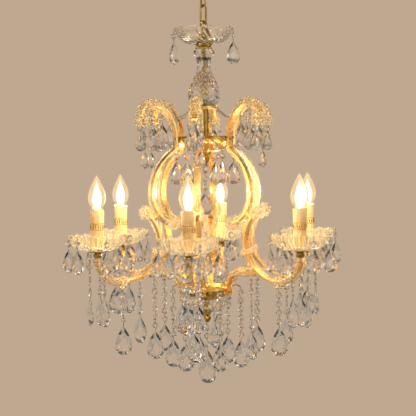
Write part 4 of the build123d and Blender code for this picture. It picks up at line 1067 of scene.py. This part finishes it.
# %% [markdown]
# ## Garlands and crown stones
# Six short garlands of small beads swing from the ring under the baluster out to the crown scrolls. Their
# line sags a little: a straight run less a parabola. Each bead is turned to lie along the run. Small stones
# cover the outer face of each crown in rows, from its top down to its tip.

# %% Garlands and crown stones
RING_RADIUS = 0.0268
GARLAND_BEADS, GARLAND_BEAD, GARLAND_SAG, GARLAND_LINK = 6, 0.0068, 0.004, (0.006, 0.002)
CROWN_ROWS, CROWN_TURNS, CROWN_STEP = 10, np.radians([-70.0, -25.0, 25.0, 70.0]), radians(22.5)
_, ring_low, ring_high = width_and_heights("garland_ring")
run_start = np.array([RING_RADIUS, 0, (ring_low + ring_high) / 2])
flank_out, flank_up = beside(CROWN, 0, 0.5, 1)
run = np.array([flank_out, 0, flank_up]) - run_start


def along_garland(shape, count, first):
    """Copies of a shape on every arm's sagging run, with their third axis along it. They are evenly spaced,
    and the first is a share of a step from the ring."""
    share = ((np.arange(count) + first) / GARLAND_BEADS)[:, None]
    places = run_start + run * share - np.array([0, 0, 4 * GARLAND_SAG]) * share * (1 - share)
    along, side = run / np.linalg.norm(run), np.array([0, 1, 0])
    turn = np.stack([np.cross(side, along), side, along], axis=-1)
    return round_arms(placed(shape, turn[None], places))


garland_beads = along_garland(star_bead(GARLAND_BEAD, GARLAND_BEAD), GARLAND_BEADS, 0.5)
garland_links = along_garland(wire_oval(*GARLAND_LINK), GARLAND_BEADS + 1, 0.0)
piece("garland_crystal", garland_beads, CRYSTAL, ["garland_strings"], 0)
piece("garland_wire", garland_links, BRASS, (), 60)

row_at = np.linspace(at_share(CROWN, 1, 0.1), at_share(CROWN, 2, 0.85), CROWN_ROWS)
row_turns = CROWN_TURNS[None, :] + CROWN_STEP * (np.arange(CROWN_ROWS)[:, None] % 2 - 0.5)
crown_knobs = knobs_round_bar(CROWN, row_at, row_turns, FACE_REACH)
piece("crown_stones", round_arms(crown_knobs), CLOUDED, (), 0)

# %% [markdown]
# ## Light and stage
# Pale warm light comes from all sides, with a dark band above that gives the crystals their grey edges.
# Two large soft lamps face the front. A small warm lamp sits in each bulb and moves with it. The floor
# lies well below, as under a hanging light.

# %% World, lamps and floor
WALL, SHADE = (0.52, 0.39, 0.28, 1), (0.085, 0.083, 0.08, 1)
CEILING, PALE = (0.95, 0.84, 0.70, 1), (0.72, 0.67, 0.61, 1)
BANDS = ((0.0, SHADE), (0.4, WALL), (0.62, WALL), (0.72, SHADE), (0.83, SHADE), (0.92, CEILING))
FLOOR_HEIGHT, FLOOR_RADIUS, FLOOR_SIDES, FLOOR_ROUGHNESS = -2.2, 6.0, 64, 0.9
SOFT_LAMPS = (("key_lamp", (-1.5, -1.7, 0.3), 11, 1.8), ("fill_lamp", (1.8, -1.2, -0.2), 6.5, 1.5))
LAMP_WATTS, LAMP_COLOUR, LAMP_RADIUS, LAMP_RISE = 2.2, (1.0, 0.79, 0.48), 0.008, 0.025

world = bpy.data.worlds.new("surround")
bpy.context.scene.world = world
world.use_nodes = True
sky = world.node_tree
sky_colour = colour_by_height(sky, "Generated", -1.0, 1.0, BANDS)
link_inputs(sky, sky.nodes["Background"], {"Color": sky_colour})


def new_lamp(name, kind, place, watts, **settings):
    """Lamp of a kind at a place, with its power and other settings."""
    data = bpy.data.lights.new(name, kind)
    for key, value in {"energy": watts, **settings}.items():
        setattr(data, key, value)
    lamp = new_object(name, data)
    lamp.location = place
    return lamp


for name, place, watts, size in SOFT_LAMPS:
    lamp = new_lamp(name, "AREA", place, watts, size=size)
    lamp.rotation_euler = towards(lamp.location, Vector((0, 0, AIM_HEIGHT))).to_euler()
small_lamp = {"color": LAMP_COLOUR, "shadow_soft_size": LAMP_RADIUS, "use_shadow": False}
for number, place in enumerate(ARM_PLACES + [0, 0, SLEEVE_HIGH.z + LAMP_RISE], 1):
    light = new_lamp(f"bulb_light_{number}", "POINT", place, LAMP_WATTS, **small_lamp)
    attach(light, f"bulb_{number}")

floor_points, floor_faces = grid(round_axis(column(0, FLOOR_RADIUS, 3), circle(FLOOR_SIDES), FLOOR_HEIGHT))
floor_mesh = bpy.data.meshes.new("floor")
floor_mesh.from_pydata(floor_points.tolist(), [], floor_faces[0].tolist())
floor_mesh.materials.append(new_material("floor", {"Base Color": PALE, "Roughness": FLOOR_ROUGHNESS})[0])
floor = new_object("floor", floor_mesh)
bpy.context.scene.view_settings.view_transform = "Standard"
